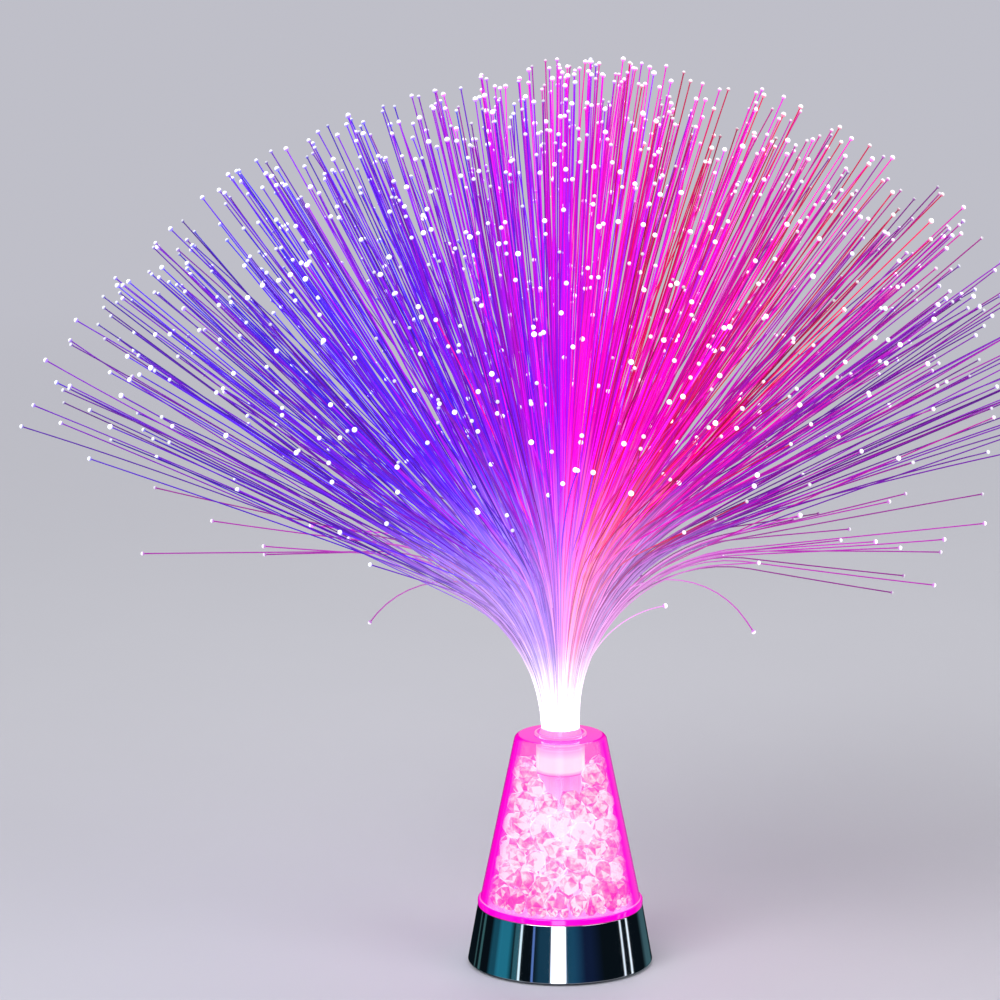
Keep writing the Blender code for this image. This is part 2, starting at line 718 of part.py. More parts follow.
def make_screws():
    """Four screws that hold the cover and two that hold the board."""
    for index, (x, y) in enumerate(corner_places(SIDE_LINE_X, COVER_SCREW_Y)):
        profile = screw_profile(COVER_SCREW_LENGTH)
        screw = dress(turned(f"cover_screw_{index + 1}", profile, TINY_STEPS), STEEL)
        screw.location = (x, y, COVER_Z + SCREW_HEAD_SINK)
    for index, (x, y) in enumerate(board_screw_places()):
        profile = screw_profile(BOARD_SCREW_LENGTH)
        screw = dress(turned(f"board_screw_{index + 1}", profile, TINY_STEPS), STEEL)
        screw.location = (x, y, BOARD_UNDER_Z - GAP - SCREW_HEAD_HEIGHT)


def make_feet():
    """Four rubber feet in their recesses."""
    top = COVER_Z + FOOT_RECESS - GAP
    edge = FOOT_EDGE_ROUND
    profile = [
        (0.0, top),
        (FOOT_RADIUS, top),
        *arc((FOOT_RADIUS - edge, edge), edge, 0.0, -math.pi / 2, 2),
        (0.0, 0.0),
    ]
    for index, (x, y) in enumerate(foot_places()):
        foot = dress(turned(f"rubber_foot_{index + 1}", profile, SMALL_STEPS), RUBBER)
        foot.location = (x, y, 0.0)


def make_switch():
    """The slide switch on the inside of the cover, and its slider with the knob that shows below."""
    bottom = COVER_TOP_Z + GAP
    top = bottom + SWITCH_HEIGHT
    half_x, half_y = SWITCH_WIDTH / 2, SWITCH_LENGTH / 2
    x = SIDE_LINE_X
    body = dress(box("switch_body", (x - half_x, -half_y, bottom), (x + half_x, half_y, top)), STEEL)
    for index in (-1, 0, 1):
        y = index * TERMINAL_PITCH
        half = TERMINAL_WIDTH / 2
        low = (x - half, y - half, top - SWITCH_WALL)
        join(body, box(f"terminal_{index}", low, (x + half, y + half, top + TERMINAL_HEIGHT)))
    carriage_top = bottom + GAP + CARRIAGE_HEIGHT
    inner = half_x - SWITCH_WALL
    room = (CARRIAGE_LENGTH + SWITCH_TRAVEL) / 2 + GAP
    low = (x - inner, -room, bottom - OVERRUN)
    cut(body, box("switch_space", low, (x + inner, room, carriage_top + GAP)))
    rest_y = -SWITCH_TRAVEL / 2
    wide = inner - GAP
    low = (x - wide, rest_y - CARRIAGE_LENGTH / 2, bottom + GAP)
    high = (x + wide, rest_y + CARRIAGE_LENGTH / 2, carriage_top)
    slider = dress(box("switch_slider", low, high), BLACK_PLASTIC)
    low = (x - KNOB_WIDTH / 2, rest_y - KNOB_LENGTH / 2, KNOB_CLEARANCE)
    high = (x + KNOB_WIDTH / 2, rest_y + KNOB_LENGTH / 2, bottom + GAP + CARRIAGE_HEIGHT / 2)
    join(slider, box("knob", low, high))


def make_board():
    """The round circuit board, three lamps, their resistors and the driver chip."""
    outline = arc((0.0, 0.0), BOARD_RADIUS, 0.0, math.tau, MIDDLE_STEPS)[:-1]
    board = dress(plate("circuit_board", outline, BOARD_UNDER_Z, BOARD_TOP_Z), BOARD_GREEN)
    cut(
        board,
        cylinders(
            "board_holes",
            SCREW_RADIUS + GAP,
            BOARD_UNDER_Z - OVERRUN,
            BOARD_TOP_Z + OVERRUN,
            board_screw_places(),
            TINY_STEPS,
        ),
    )
    seat = BOARD_TOP_Z + GAP
    dome = arc((0.0, LED_HEIGHT - LED_RADIUS), LED_RADIUS, math.pi / 2, 0.0, CORNER_STEPS)
    profile = [
        (0.0, LED_HEIGHT),
        *dome[1:],
        (LED_RADIUS, LED_FLANGE_HEIGHT),
        (LED_FLANGE_RADIUS, LED_FLANGE_HEIGHT),
        (LED_FLANGE_RADIUS, 0.0),
        (0.0, 0.0),
    ]
    for index, (colour, look) in enumerate(LED_LOOKS.items()):
        turn = math.pi / 2 + math.tau * index / len(LED_LOOKS)
        led = dress(turned(f"led_{colour}", profile, SMALL_STEPS), look)
        led.location = (LED_CIRCLE_RADIUS * math.cos(turn), LED_CIRCLE_RADIUS * math.sin(turn), seat)
        x, y = -BOARD_PART_RADIUS, (index - 1) * RESISTOR_PITCH
        low = (x - RESISTOR_LENGTH / 2, y - RESISTOR_WIDTH / 2, seat)
        high = (x + RESISTOR_LENGTH / 2, y + RESISTOR_WIDTH / 2, seat + RESISTOR_HEIGHT)
        dress(box(f"resistor_{index + 1}", low, high), BLACK_PLASTIC)
    low = (BOARD_PART_RADIUS - CHIP_WIDTH / 2, -CHIP_LENGTH / 2, seat)
    high = (BOARD_PART_RADIUS + CHIP_WIDTH / 2, CHIP_LENGTH / 2, seat + CHIP_HEIGHT)
    dress(box("driver_chip", low, high), BLACK_PLASTIC)


def solder_points():
    """Where the wires start and end, on the contacts, the switch and the board."""
    terminal_x = SIDE_LINE_X - TERMINAL_WIDTH / 2
    terminal_z = COVER_TOP_Z + GAP + SWITCH_HEIGHT
    return {
        "positive_tab": Vector((cell_x(CELL_COUNT - 1), CONTACT_FACE_Y, BAY_TOP_Z)),
        "negative_tab": Vector((cell_x(0), -CONTACT_FACE_Y, BAY_TOP_Z)),
        "outer_terminal": Vector((terminal_x, TERMINAL_PITCH, terminal_z)),
        "middle_terminal": Vector((terminal_x, 0.0, terminal_z)),
        "board_edge": Vector((BOARD_RADIUS, 0.0, BOARD_UNDER_Z)),
        "board_middle": Vector((0.0, 0.0, BOARD_UNDER_Z)),
    }


def make_wires():
    """Three wires on their real routes: cell to switch, switch to board, and cell to board."""
    starts = solder_points()
    for name, (look, stretches) in WIRE_ROUTES.items():
        route = [starts[key] + Vector(p) * MM for key, points in stretches.items() for p in points]
        dress(tube(name, smooth_route(route, WIRE_STEP), WIRE_RADIUS, 1), look)


def make_shade():
    """The clear cone with its foot flange, flat top and the moulded socket that hangs from it."""
    foot_radius = BASE_TOP_RADIUS
    flange_top = SHADE_Z + FLANGE_HEIGHT
    under_top = SHADE_TOP_Z - SHADE_WALL
    round_centre = (SHADE_TOP_RADIUS - SHADE_TOP_ROUND, SHADE_TOP_Z - SHADE_TOP_ROUND)
    corner = arc(round_centre, SHADE_TOP_ROUND, math.pi / 2, 0.0, CORNER_STEPS)
    rim_radius = SOCKET_BORE_RADIUS + SOCKET_RIM_WIDTH
    profile = [
        (SOCKET_BORE_RADIUS, RIM_TOP_Z),
        (rim_radius, RIM_TOP_Z),
        (rim_radius, SHADE_TOP_Z),
        *corner,
        (shade_radius(flange_top), flange_top),
        (foot_radius, flange_top),
        (foot_radius, SHADE_Z),
        (shade_radius(SHADE_Z) - SHADE_WALL, SHADE_Z),
        (shade_radius(under_top) - SHADE_WALL, under_top),
        (SOCKET_OUTER_RADIUS, under_top),
        (SOCKET_OUTER_RADIUS, SOCKET_UNDER_Z),
        (SOCKET_BORE_RADIUS - SOCKET_LIP_WIDTH, SOCKET_UNDER_Z),
        (SOCKET_BORE_RADIUS - SOCKET_LIP_WIDTH, SOCKET_SEAT_Z),
        (SOCKET_BORE_RADIUS, SOCKET_SEAT_Z),
    ]
    dress(turned("shade", profile, LARGE_STEPS, closed=True), CLEAR_PINK)
    floor_radius = shade_radius(SHADE_FLOOR_TOP_Z) - SHADE_WALL - GAP
    profile = [
        (DECK_HOLE_RADIUS, SHADE_FLOOR_TOP_Z),
        (floor_radius, SHADE_FLOOR_TOP_Z),
        (floor_radius, SHADE_Z),
        (DECK_HOLE_RADIUS, SHADE_Z),
    ]
    dress(turned("shade_floor", profile, MIDDLE_STEPS, closed=True), CLEAR_PLASTIC)


def make_light_tube():
    """The clear tube from the board to the socket, with flutes round its upper end."""
    top = SOCKET_UNDER_Z - GAP
    bottom = BOARD_TOP_Z + GAP
    inner = LIGHT_TUBE_RADIUS - LIGHT_TUBE_WALL
    profile = [(inner, top), (LIGHT_TUBE_RADIUS, top), (LIGHT_TUBE_RADIUS, bottom), (inner, bottom)]
    light_tube = dress(turned("light_tube", profile, MIDDLE_STEPS, closed=True), CLEAR_PLASTIC)
    circle = LIGHT_TUBE_RADIUS + FLUTE_RADIUS - FLUTE_DEPTH
    turns = [math.tau * i / FLUTE_COUNT for i in range(FLUTE_COUNT)]
    places = [(circle * math.cos(turn), circle * math.sin(turn)) for turn in turns]
    low = top - FLUTED_HEIGHT
    cut(light_tube, cylinders("flutes", FLUTE_RADIUS, low, top + OVERRUN, places, FLUTE_SIDES))


def ring_of_stones(circle, radius, draw):
    """Even and odd stones of one ring, as two meshes whose own stones don't touch."""
    spacing = 2 * math.asin(STONE_SPACING_SHARE * radius / circle)
    count = 2 * math.ceil(math.tau / spacing / 2)
    halves = [bmesh.new(), bmesh.new()]
    for i in range(count):
        turn = math.tau * i / count
        size = radius * draw.uniform(*STONE_SIZE_SHARES)
        tilt = Matrix.Rotation(draw.uniform(0.0, math.tau), 4, "Z")
        tilt = tilt @ Matrix.Rotation(draw.uniform(0.0, math.pi), 4, "X")
        place = Matrix.Translation((circle * math.cos(turn), circle * math.sin(turn), 0.0))
        bmesh.ops.create_icosphere(halves[i % 2], subdivisions=1, radius=size, matrix=place @ tilt)
    return halves


def shift(halves, rise):
    for half in halves:
        bmesh.ops.translate(half, verts=half.verts, vec=(0.0, 0.0, rise))


def touches(halves, below):
    """Whether any stone of a layer cuts a stone of the layer below."""
    trees = [BVHTree.FromBMesh(half) for half in halves]
    return any(tree.overlap(other) for tree in trees for other in below)


def settle(halves, below):
    """Lowers a layer of stones until it touches what lies below, and leaves the gap there."""
    step = GAP / 2
    low = min(vert.co.z for half in halves for vert in half.verts)
    shift(halves, max(SHADE_FLOOR_TOP_Z + step - low, 0.0))
    while below and not touches(halves, below):
        shift(halves, -step)
    shift(halves, step + GAP if below else GAP - step)


def make_crystals():
    """Layers of cut stones that fill the cone round the light tube and the socket."""
    draw = random.Random(STONE_SEED)
    ceiling = SHADE_TOP_Z - SHADE_WALL - GAP
    floor = SHADE_FLOOR_TOP_Z + GAP
    slope = (shade_radius(SHADE_Z) - SHADE_TOP_RADIUS) / SHADE_HEIGHT
    layer, below = 0, []
    while True:
        room = shade_radius(floor) - SHADE_WALL - GAP - SOCKET_OUTER_RADIUS - GAP
        radius = min(STONE_RADIUS, room / (1 + slope) / 2)
        if floor + 2 * radius > ceiling or radius < SMALLEST_STONE_RADIUS:
            break
        layer += 1
        circle = shade_radius(floor + 2 * radius) - SHADE_WALL - GAP - radius
        halves = ring_of_stones(circle, radius, draw)
        shift(halves, floor + radius)
        settle(halves, below)
        below = [BVHTree.FromBMesh(half) for half in halves]
        floor = max(vert.co.z for half in halves for vert in half.verts)
        even, odd = [from_bmesh(f"crystal_layer_{layer}", half) for half in halves]
        join(dress(even, STONE_PINK), odd)


def spread_of_ring(ring):
    """Angle from the vertical at which a strand of this ring ends."""
    return LARGEST_SPREAD * (ring / STRAND_RINGS) ** SPREAD_POWER_SHARE


def strand_path(start, turn, spread, trim, bend_shares):
    """A strand in the half plane at one turn: a bend of even curve, then a straight run."""
    points = [(start, -STRAND_ROOT)]
    if spread > 0.0:
        bend_radius = BEND_LENGTH / spread
        for share in bend_shares:
            angle = spread * share
            out = start + bend_radius * (1 - math.cos(angle))
            points.append((out, bend_radius * math.sin(angle)))
    run, rise = points[-1] if spread > 0.0 else (start, BEND_LENGTH)
    straight = (STRAND_LENGTH - BEND_LENGTH) * trim
    if run + math.sin(spread) * straight > SPRAY_REACH:
        straight = (SPRAY_REACH - run) / math.sin(spread) * trim
    points.append((run + straight * math.sin(spread), rise + straight * math.cos(spread)))
    axis = Vector((math.cos(turn), math.sin(turn), 0.0))
    return [axis * out + Vector((0.0, 0.0, SLUG_TOP_Z + up)) for out, up in points]


def strand_paths():
    """Every strand of the bundle, ring by ring, none of which crosses another."""
    draw = random.Random(STRAND_SEED)
    paths = [strand_path(0.0, 0.0, 0.0, 1.0, ())]
    for ring in range(1, STRAND_RINGS + 1):
        quarter = round(STRANDS_PER_RING_STEP * ring / 4)
        count = 4 * quarter
        start = BUNDLE_RADIUS * ring / STRAND_RINGS
        spread = spread_of_ring(ring)
        slack = (spread - spread_of_ring(ring - 1)) * ANGLE_SPREAD_SHARE * ring / STRAND_RINGS
        shares = INNER_BEND_SHARES if ring <= STRAND_RINGS / 2 else OUTER_BEND_SHARES
        for i in range(count):
            turn = math.tau * i / count
            nudge, trim = 0.0, 1.0
            if ring < STRAND_RINGS or i % quarter:
                turn += draw.uniform(-1.0, 1.0) * TURN_SPREAD_SHARE * math.tau / count
                nudge = draw.uniform(-1.0, 1.0) * slack
                trim -= draw.random() * LENGTH_SPREAD_SHARE
            paths.append(strand_path(start, turn, spread + nudge, trim, shares))
    return paths


def least_gap(paths):
    """The smallest distance between the surfaces of two strands, measured on points."""
    samples = []
    for index, path in enumerate(paths):
        for a, b in zip(path, path[1:]):
            count = max(1, math.ceil((b - a).length / SAMPLE_STEP))
            samples += [(a.lerp(b, i / count), index) for i in range(count)]
    tree = kdtree.KDTree(len(samples))
    for place, (point, _) in enumerate(samples):
        tree.insert(point, place)
    tree.balance()
    least = math.inf
    for point, index in samples:
        for _, place, distance in tree.find_n(point, 6):
            if samples[place][1] != index:
                least = min(least, distance)
                break
    return least - 2 * STRAND_RADIUS


def make_spray():
    """The strands, fused to their potted end, and the ferrule round it."""
    paths = strand_paths()
    print(f"{len(paths)} strands, least gap between them {least_gap(paths) / MM:.2f} mm")
    section = bpy.data.curves.new("strand_section", "CURVE")
    ring = section.splines.new("POLY")
    ring.points.add(2)
    for point, (x, y) in zip(ring.points, arc((0.0, 0.0), STRAND_RADIUS, 0.0, math.tau, 3)):
        point.co = (x, y, 0.0, 1.0)
    ring.use_cyclic_u = True
    profile = bpy.data.objects.new("strand_section", section)
    as_cutter(profile)
    curve = bpy.data.curves.new("strands", "CURVE")
    curve.dimensions = "3D"
    curve.bevel_mode = "OBJECT"
    curve.bevel_object = profile
    curve.use_fill_caps = True
    for path in paths:
        spline = curve.splines.new("POLY")
        spline.points.add(len(path) - 1)
        for point, place in zip(spline.points, path):
            point.co = (*place, 1.0)
    strands = curve_to_mesh("strands", curve, Matrix.Identity(4))
    body = PLUG_RADIUS - FERRULE_WALL - GAP
    flange_z = SLUG_TOP_Z - SLUG_FLANGE_HEIGHT
    outline = [(0.0, SLUG_TOP_Z), (PLUG_RADIUS, SLUG_TOP_Z), (PLUG_RADIUS, flange_z)]
    outline += [(body, flange_z), (body, SLUG_Z), (0.0, SLUG_Z)]
    spray = dress(turned("fiber_spray", outline, MIDDLE_STEPS), STRAND_VIOLET)
    join(spray, strands)
    inner = PLUG_RADIUS - FERRULE_WALL
    top = flange_z - GAP
    outline = [(inner, top), (PLUG_RADIUS, top), (PLUG_RADIUS, SLUG_Z), (inner, SLUG_Z)]
    dress(turned("ferrule", outline, MIDDLE_STEPS, closed=True), CLEAR_PLASTIC)


def main():
    clear_scene()
    make_base()
    make_cover()
    make_door()
    make_cells()
    make_springs()
    make_contacts()
    make_screws()
    make_feet()
    make_switch()
    make_board()
    make_wires()
    make_shade()
    make_light_tube()
    make_crystals()
    make_spray()


main()
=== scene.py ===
"""Looks of the fibre optic lamp: glowing strands, a clear cone full of cut stones, a chromed base,
and the studio round it.

Units are metres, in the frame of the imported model: +Z is up and the lamp's axis is the Z axis.
"""

import math
import random

import bmesh
import bpy
import numpy as np
from mathutils import Matrix, Vector


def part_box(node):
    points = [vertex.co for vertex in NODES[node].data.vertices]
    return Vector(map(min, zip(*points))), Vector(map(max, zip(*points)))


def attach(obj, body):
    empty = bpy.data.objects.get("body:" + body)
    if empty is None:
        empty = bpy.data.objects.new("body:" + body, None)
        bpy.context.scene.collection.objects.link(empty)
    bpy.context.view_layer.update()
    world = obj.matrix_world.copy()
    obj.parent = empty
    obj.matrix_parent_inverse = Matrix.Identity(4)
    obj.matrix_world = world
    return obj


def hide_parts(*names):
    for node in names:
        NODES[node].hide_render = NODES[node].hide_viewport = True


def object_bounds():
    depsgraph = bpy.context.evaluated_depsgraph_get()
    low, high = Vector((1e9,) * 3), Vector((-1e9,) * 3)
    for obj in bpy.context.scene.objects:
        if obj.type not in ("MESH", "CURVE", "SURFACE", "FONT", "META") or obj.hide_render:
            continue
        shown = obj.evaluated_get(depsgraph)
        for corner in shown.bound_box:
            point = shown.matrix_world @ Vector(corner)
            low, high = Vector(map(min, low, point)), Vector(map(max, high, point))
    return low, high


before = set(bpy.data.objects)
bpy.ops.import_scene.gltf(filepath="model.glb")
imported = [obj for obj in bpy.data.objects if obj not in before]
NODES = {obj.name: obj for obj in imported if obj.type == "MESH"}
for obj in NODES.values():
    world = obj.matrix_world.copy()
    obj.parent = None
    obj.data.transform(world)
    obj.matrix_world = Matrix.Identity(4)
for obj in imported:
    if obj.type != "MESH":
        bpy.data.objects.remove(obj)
CAD_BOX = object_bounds()

MM = 0.001
WHITE = (1.0, 1.0, 1.0)
BLACK = (0.0, 0.0, 0.0)

# Camera, from the photograph's frame of 1000 by 1000 pixels
CAMERA_ELEVATION = math.radians(12.8)
CAMERA_DISTANCE = 2.55
CAMERA_REACH = 50.0
FRAME_WIDTH = 0.3745
FRAME_PIXELS = 1000
AXIS_PIXEL_X = 561
FOOT_PIXEL_Y = 960
SENSOR_WIDTH = 36.0

# Studio
BACKDROP = (0.52, 0.52, 0.58)
FLOOR_COLOUR = (0.56, 0.56, 0.61)
FLOOR_DULLEST = 0.985
FLOOR_RADIUS = 4.0
FLOOR_SIDES = 96
FLOOR_FADE = (0.45, 1.3)
WORLD_STRENGTH = 0.42
RING_RADIUS = 1.6
RING_HEIGHTS = (-1.6, 1.9)
RING_SIDES = 144

# Area lamps: name, azimuth in degrees from the camera's side, elevation in degrees, distance,
# diameter and power in watts
LAMPS = (
    ("key", -38, 48, 1.6, 0.9, 16),
    ("fill", 55, 35, 1.8, 1.1, 8),
    ("back", 170, 50, 1.8, 1.0, 9),
)

# What the chrome mirrors: dark flags with a few lit strips between them. Each strip is (azimuth,
# half width, share of it that fades, colour), in degrees from the camera's side, anticlockwise seen
# from above.
STRIPS = (
    (-2.7, 9.0, 0.15, (4.0, 4.2, 4.6)),
    (-21.0, 9.5, 0.4, (0.01, 0.060, 0.11)),
    (13.0, 11.0, 0.7, (0.01, 0.085, 0.15)),
    (32.0, 16.0, 0.5, (0.004, 0.010, 0.045)),
    (-35.5, 1.4, 0.2, (0.16, 0.30, 0.75)),
    (-53.2, 1.5, 0.2, (1.3, 1.6, 1.7)),
    (-59.0, 3.5, 0.2, (0.04, 0.16, 0.20)),
    (-77.0, 10.0, 0.35, (0.02, 0.25, 0.36)),
    (-93.0, 8.0, 0.35, (0.01, 0.10, 0.15)),
    (-122.0, 2.6, 0.3, (0.06, 0.17, 0.17)),
    (-134.0, 1.8, 0.3, (0.05, 0.12, 0.12)),
    (87.6, 1.6, 0.2, (1.4, 1.5, 1.6)),
    (100.2, 1.8, 0.2, (1.5, 1.6, 1.7)),
    (146.0, 13.0, 0.4, (0.06, 0.14, 0.16)),
    (180.0, 6.0, 0.3, (0.3, 0.34, 0.38)),
)
FLAG_COLOUR = (0.004, 0.008, 0.012)

# Strands. Lengths are along the strand, and a scatter is a standard deviation.
STRAND_SEED = 4
STRAND_COUNT = 1250
STRAND_RADIUS = 0.26 * MM
STRAND_ROOT_RADIUS = 0.17 * MM
STRAND_GROWN_SHARE = 0.4
STRAND_SIDES = 5
STRAND_STEPS = 28
STEP_POWER = 1.15
STRAND_LENGTH = 257 * MM
STRAND_SINK = 0.8 * MM
BUNDLE_RADIUS = 7.1 * MM
GOLDEN_TURN = math.pi * (3 - math.sqrt(5))
TURN_SCATTER = 0.05
LEAN_SCATTER = 0.05
ZONES = 8

BEND_LENGTH = 96 * MM
BEND_START = 8 * MM
BEND_SCATTER = 0.08
BEND_LIMITS = (0.8, 1.25)
LARGEST_SPREAD = math.radians(67.5)
SPREAD_POWER = 0.77
SPREAD_SCATTER = 0.05
SPREAD_WOBBLE = math.radians(1.5)
FRONT_LIFT = 0.09
FRONT_LIFT_POWER = 1.5
DROOP_SHARE = 0.12
DROOP_FROM = math.radians(45)
DROOP_SCATTER = 0.02

# Strands are cut a little short, and some of them much shorter
TRIM_SHARE = 0.115
TRIM_POWER = 2.3
SHORT_SHARE = 0.36
SHORT_DEPTH = 0.47

# Towards -X the bundle opens sooner, and its strands end a little nearer
WEST_BEND_START = 1 * MM
WEST_BEND_CUT = 0.22
WEST_SPREAD_CUT = 0.04
WEST_LENGTH_CUT = 0.035

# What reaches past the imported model's spray is shortened, in a few rounds
SPRAY_REACH = 204.5 * MM
FIT_ROUNDS = 3
FIT_CUT = 1.05

TIP_RADIUS = 0.85 * MM
TIP_DIVISIONS = 2
TIP_LEAST_SHARE = 0.78
TIP_GROWTH = 0.4
TIP_GROWTH_FROM = 0.5

# Strands that stray from the rest: the way they go, in degrees from +X, the angle from the upright
# that they end at, and in millimetres where their bend starts, how long it is and their length
STRAYS = (
    (181, 90, 10, 98, 196),
    (176, 92, 10, 98, 150),
    (184, 83, 10, 96, 121),
    (179, 79, 8, 96, 196),
    (183, 83, 9, 97, 172),
    (180, 142, 25, 88, 116),
    (0, 146, 27, 88, 120),
    (-4, 100, 12, 96, 162),
    (3, 99, 12, 96, 180),
    (5, 90, 10, 96, 181),
    (-6, 85, 10, 95, 158),
    (2, 77, 8, 95, 173),
    (0, 84, 8, 96, 198),
    (8, 99, 12, 96, 170),
    (8, 80, 12, 55, 67),
    (38, 92, 10, 96, 168),
    (64, 124, 24, 80, 120),
    (98, 90, 10, 98, 172),
    (126, 86, 10, 100, 190),
    (148, 92, 10, 96, 150),
    (-12, 72, 8, 95, 136),
    (14, 82, 9, 95, 132),
    (-16, 79, 8, 95, 150),
    (11, 81, 8, 96, 168),
    (-10, 84, 9, 95, 168),
    (16, 88, 10, 96, 152),
    (-9, 82, 8, 90, 113),
    (10, 82, 8, 85, 97),
    (-3, 87, 9, 96, 182),
    (1, 79, 8, 96, 200),
    (189, 86, 9, 96, 150),
)
# Strays leave the bundle near its edge
STRAY_PLACES = (0.8, 1.0)
STRAY_COLOUR = (0.42, 0.02, 0.40)

# Colour of the light in a strand, by the angle in degrees at which its tip lies to the side
STRAND_COLOURS = (
    (-80, (0.075, 0.004, 0.24)),
    (-58, (0.085, 0.005, 0.34)),
    (-44, (0.070, 0.008, 0.55)),
    (-30, (0.045, 0.014, 0.90)),
    (-20, (0.090, 0.010, 0.88)),
    (-12, (0.24, 0.006, 0.80)),
    (-4, (0.50, 0.002, 0.82)),
    (5, (0.88, 0.0, 0.74)),
    (14, (0.95, 0.0, 0.46)),
    (24, (0.70, 0.0, 0.36)),
    (36, (0.40, 0.0, 0.40)),
    (50, (0.17, 0.002, 0.36)),
    (80, (0.070, 0.004, 0.25)),
)
COLOUR_JITTER = 8
RED = (0.60, 0.0, 0.07)
RED_SHARE = 0.25
RED_SIDES = (4, 36)
VIOLET = (0.22, 0.004, 0.46)
VIOLET_SHARE = 0.85
VIOLET_SIDE = -6

# How bright a strand is: the middle, the scatter and the limits
LEVEL = 0.95
LEVEL_SCATTER = 0.32
LEVEL_LIMITS = (0.35, 1.7)

# Stones. They sink and are pushed apart step by step, and those above the fill are left out.
STONE_SEED = 11
CUT_SEED = 5
STONE_COUNT = 140
STONE_RADII = (3.9 * MM, 5.6 * MM)
STONE_POINTS = 24
STONE_POINT_SHARES = (0.90, 1.0)
STONE_SQUASH = ((0.84, 1.0), (0.90, 1.0))
STONE_TURN_SCATTER = 0.25
LOW_POWER = 1.35
SETTLE_STEPS = 260
SETTLE_FALL = 0.12 * MM
SETTLE_PUSH = 0.3
WALL_SHARE = 1.03
FILL_TOP = 14 * MM
HEAP_SHARE = 0.62
# Share of a facet's brightness that comes from its stone and not from itself
OWN_SHARE = 0.4

# Small stones in the corner between the cone's floor and its wall
CHIP_COUNT = 34
CHIP_RADII = (2.0 * MM, 2.7 * MM)
CHIP_TURN_SCATTER = 0.25
CHIP_WALL_SHARE = 1.25

# Facets of the turned pieces
TURN_STEPS = 192
PLUG_STEPS = 96
SHARP_ANGLE = math.radians(30)

# Sizes read from the frame
BASE_LOW, BASE_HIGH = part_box("chrome_base")
SHADE_LOW, SHADE_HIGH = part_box("shade")
TUBE_LOW, TUBE_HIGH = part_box("light_tube")
SPRAY_LOW, SPRAY_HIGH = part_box("fiber_spray")
STONE_FLOOR_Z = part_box("shade_floor")[1].z

# Base
BASE_WALL = 1.6 * MM
BASE_ROUND = 0.4 * MM
BASE_LIP = 0.25 * MM
TUBE_GAP = 0.3 * MM

# Cone and its socket
SHADE_WALL = 1.8 * MM
SHADE_TOP_RADIUS = 17.6 * MM
SHADE_TOP_ROUND = 2.2 * MM
FLANGE_HEIGHT = 2.0 * MM
FLANGE_PROUD = 0.6 * MM
FLANGE_ROUND = 0.5 * MM
FILLET_HEIGHT = 0.6 * MM
FILLET_PROUD = 0.15 * MM
RIM_HEIGHT = 1.0 * MM
RIM_RADIUS = 9.95 * MM
RIM_ROUND = 0.4 * MM
SOCKET_BORE = 8.25 * MM
SOCKET_OUTER = 9.25 * MM
SOCKET_LIP = 6.25 * MM
SOCKET_LIP_HEIGHT = 1.2 * MM
SHADE_TOP_Z = SHADE_HIGH.z - RIM_HEIGHT
SOCKET_UNDER_Z = TUBE_HIGH.z + TUBE_GAP
SHADE_FOOT_RADIUS = SHADE_HIGH.x - FLANGE_PROUD

# Plug, with resin that rises round the strands' foot
SLUG_TOP_Z = SHADE_HIGH.z - 1.5 * MM
SLUG_FLANGE = 3.5 * MM
SLUG_FLANGE_RADIUS = 7.95 * MM
SLUG_RADIUS = 7.0 * MM
RESIN_RISE = 3.2 * MM
RESIN_EDGE = 0.3 * MM
RESIN_SHOULDERS = (0.7, 0.35)

PLASTIC_IOR = 1.49


class Nodes:
    """Short calls that add nodes to a tree and link them."""

    def __init__(self, tree):
        self.tree = tree

    def node(self, kind, inputs=(), **settings):
        """A new node with its settings made and its inputs fed."""
        node = self.tree.nodes.new("ShaderNode" + kind)
        for key, value in settings.items():
            setattr(node, key, value)
        for socket, value in dict(inputs).items():
            self.feed(value, node.inputs[socket])
        return node

    def feed(self, value, socket):
        """Links an output socket to an input, or sets the input to a plain value."""
        if isinstance(value, bpy.types.NodeSocket):
            self.tree.links.new(value, socket)
        else:
            socket.default_value = value

    def math(self, operation, *values):
        return self.node("Math", enumerate(values), operation=operation).outputs[0]

    def seen(self):
        """1 for camera, glossy and transmission rays, and 0 for the others."""
        path = self.node("LightPath").outputs
        direct = self.math("MAXIMUM", path["Is Camera Ray"], path["Is Glossy Ray"])
        return self.math("MAXIMUM", direct, path["Is Transmission Ray"])

    def blend(self, factor, first, second):
        """The first shader where the factor is 0, and the second where it is 1."""
        return self.node("MixShader", {0: factor, 1: first, 2: second}).outputs[0]

    def show(self, shader, output="Material Output"):
        self.feed(shader, self.tree.nodes[output].inputs["Surface"])


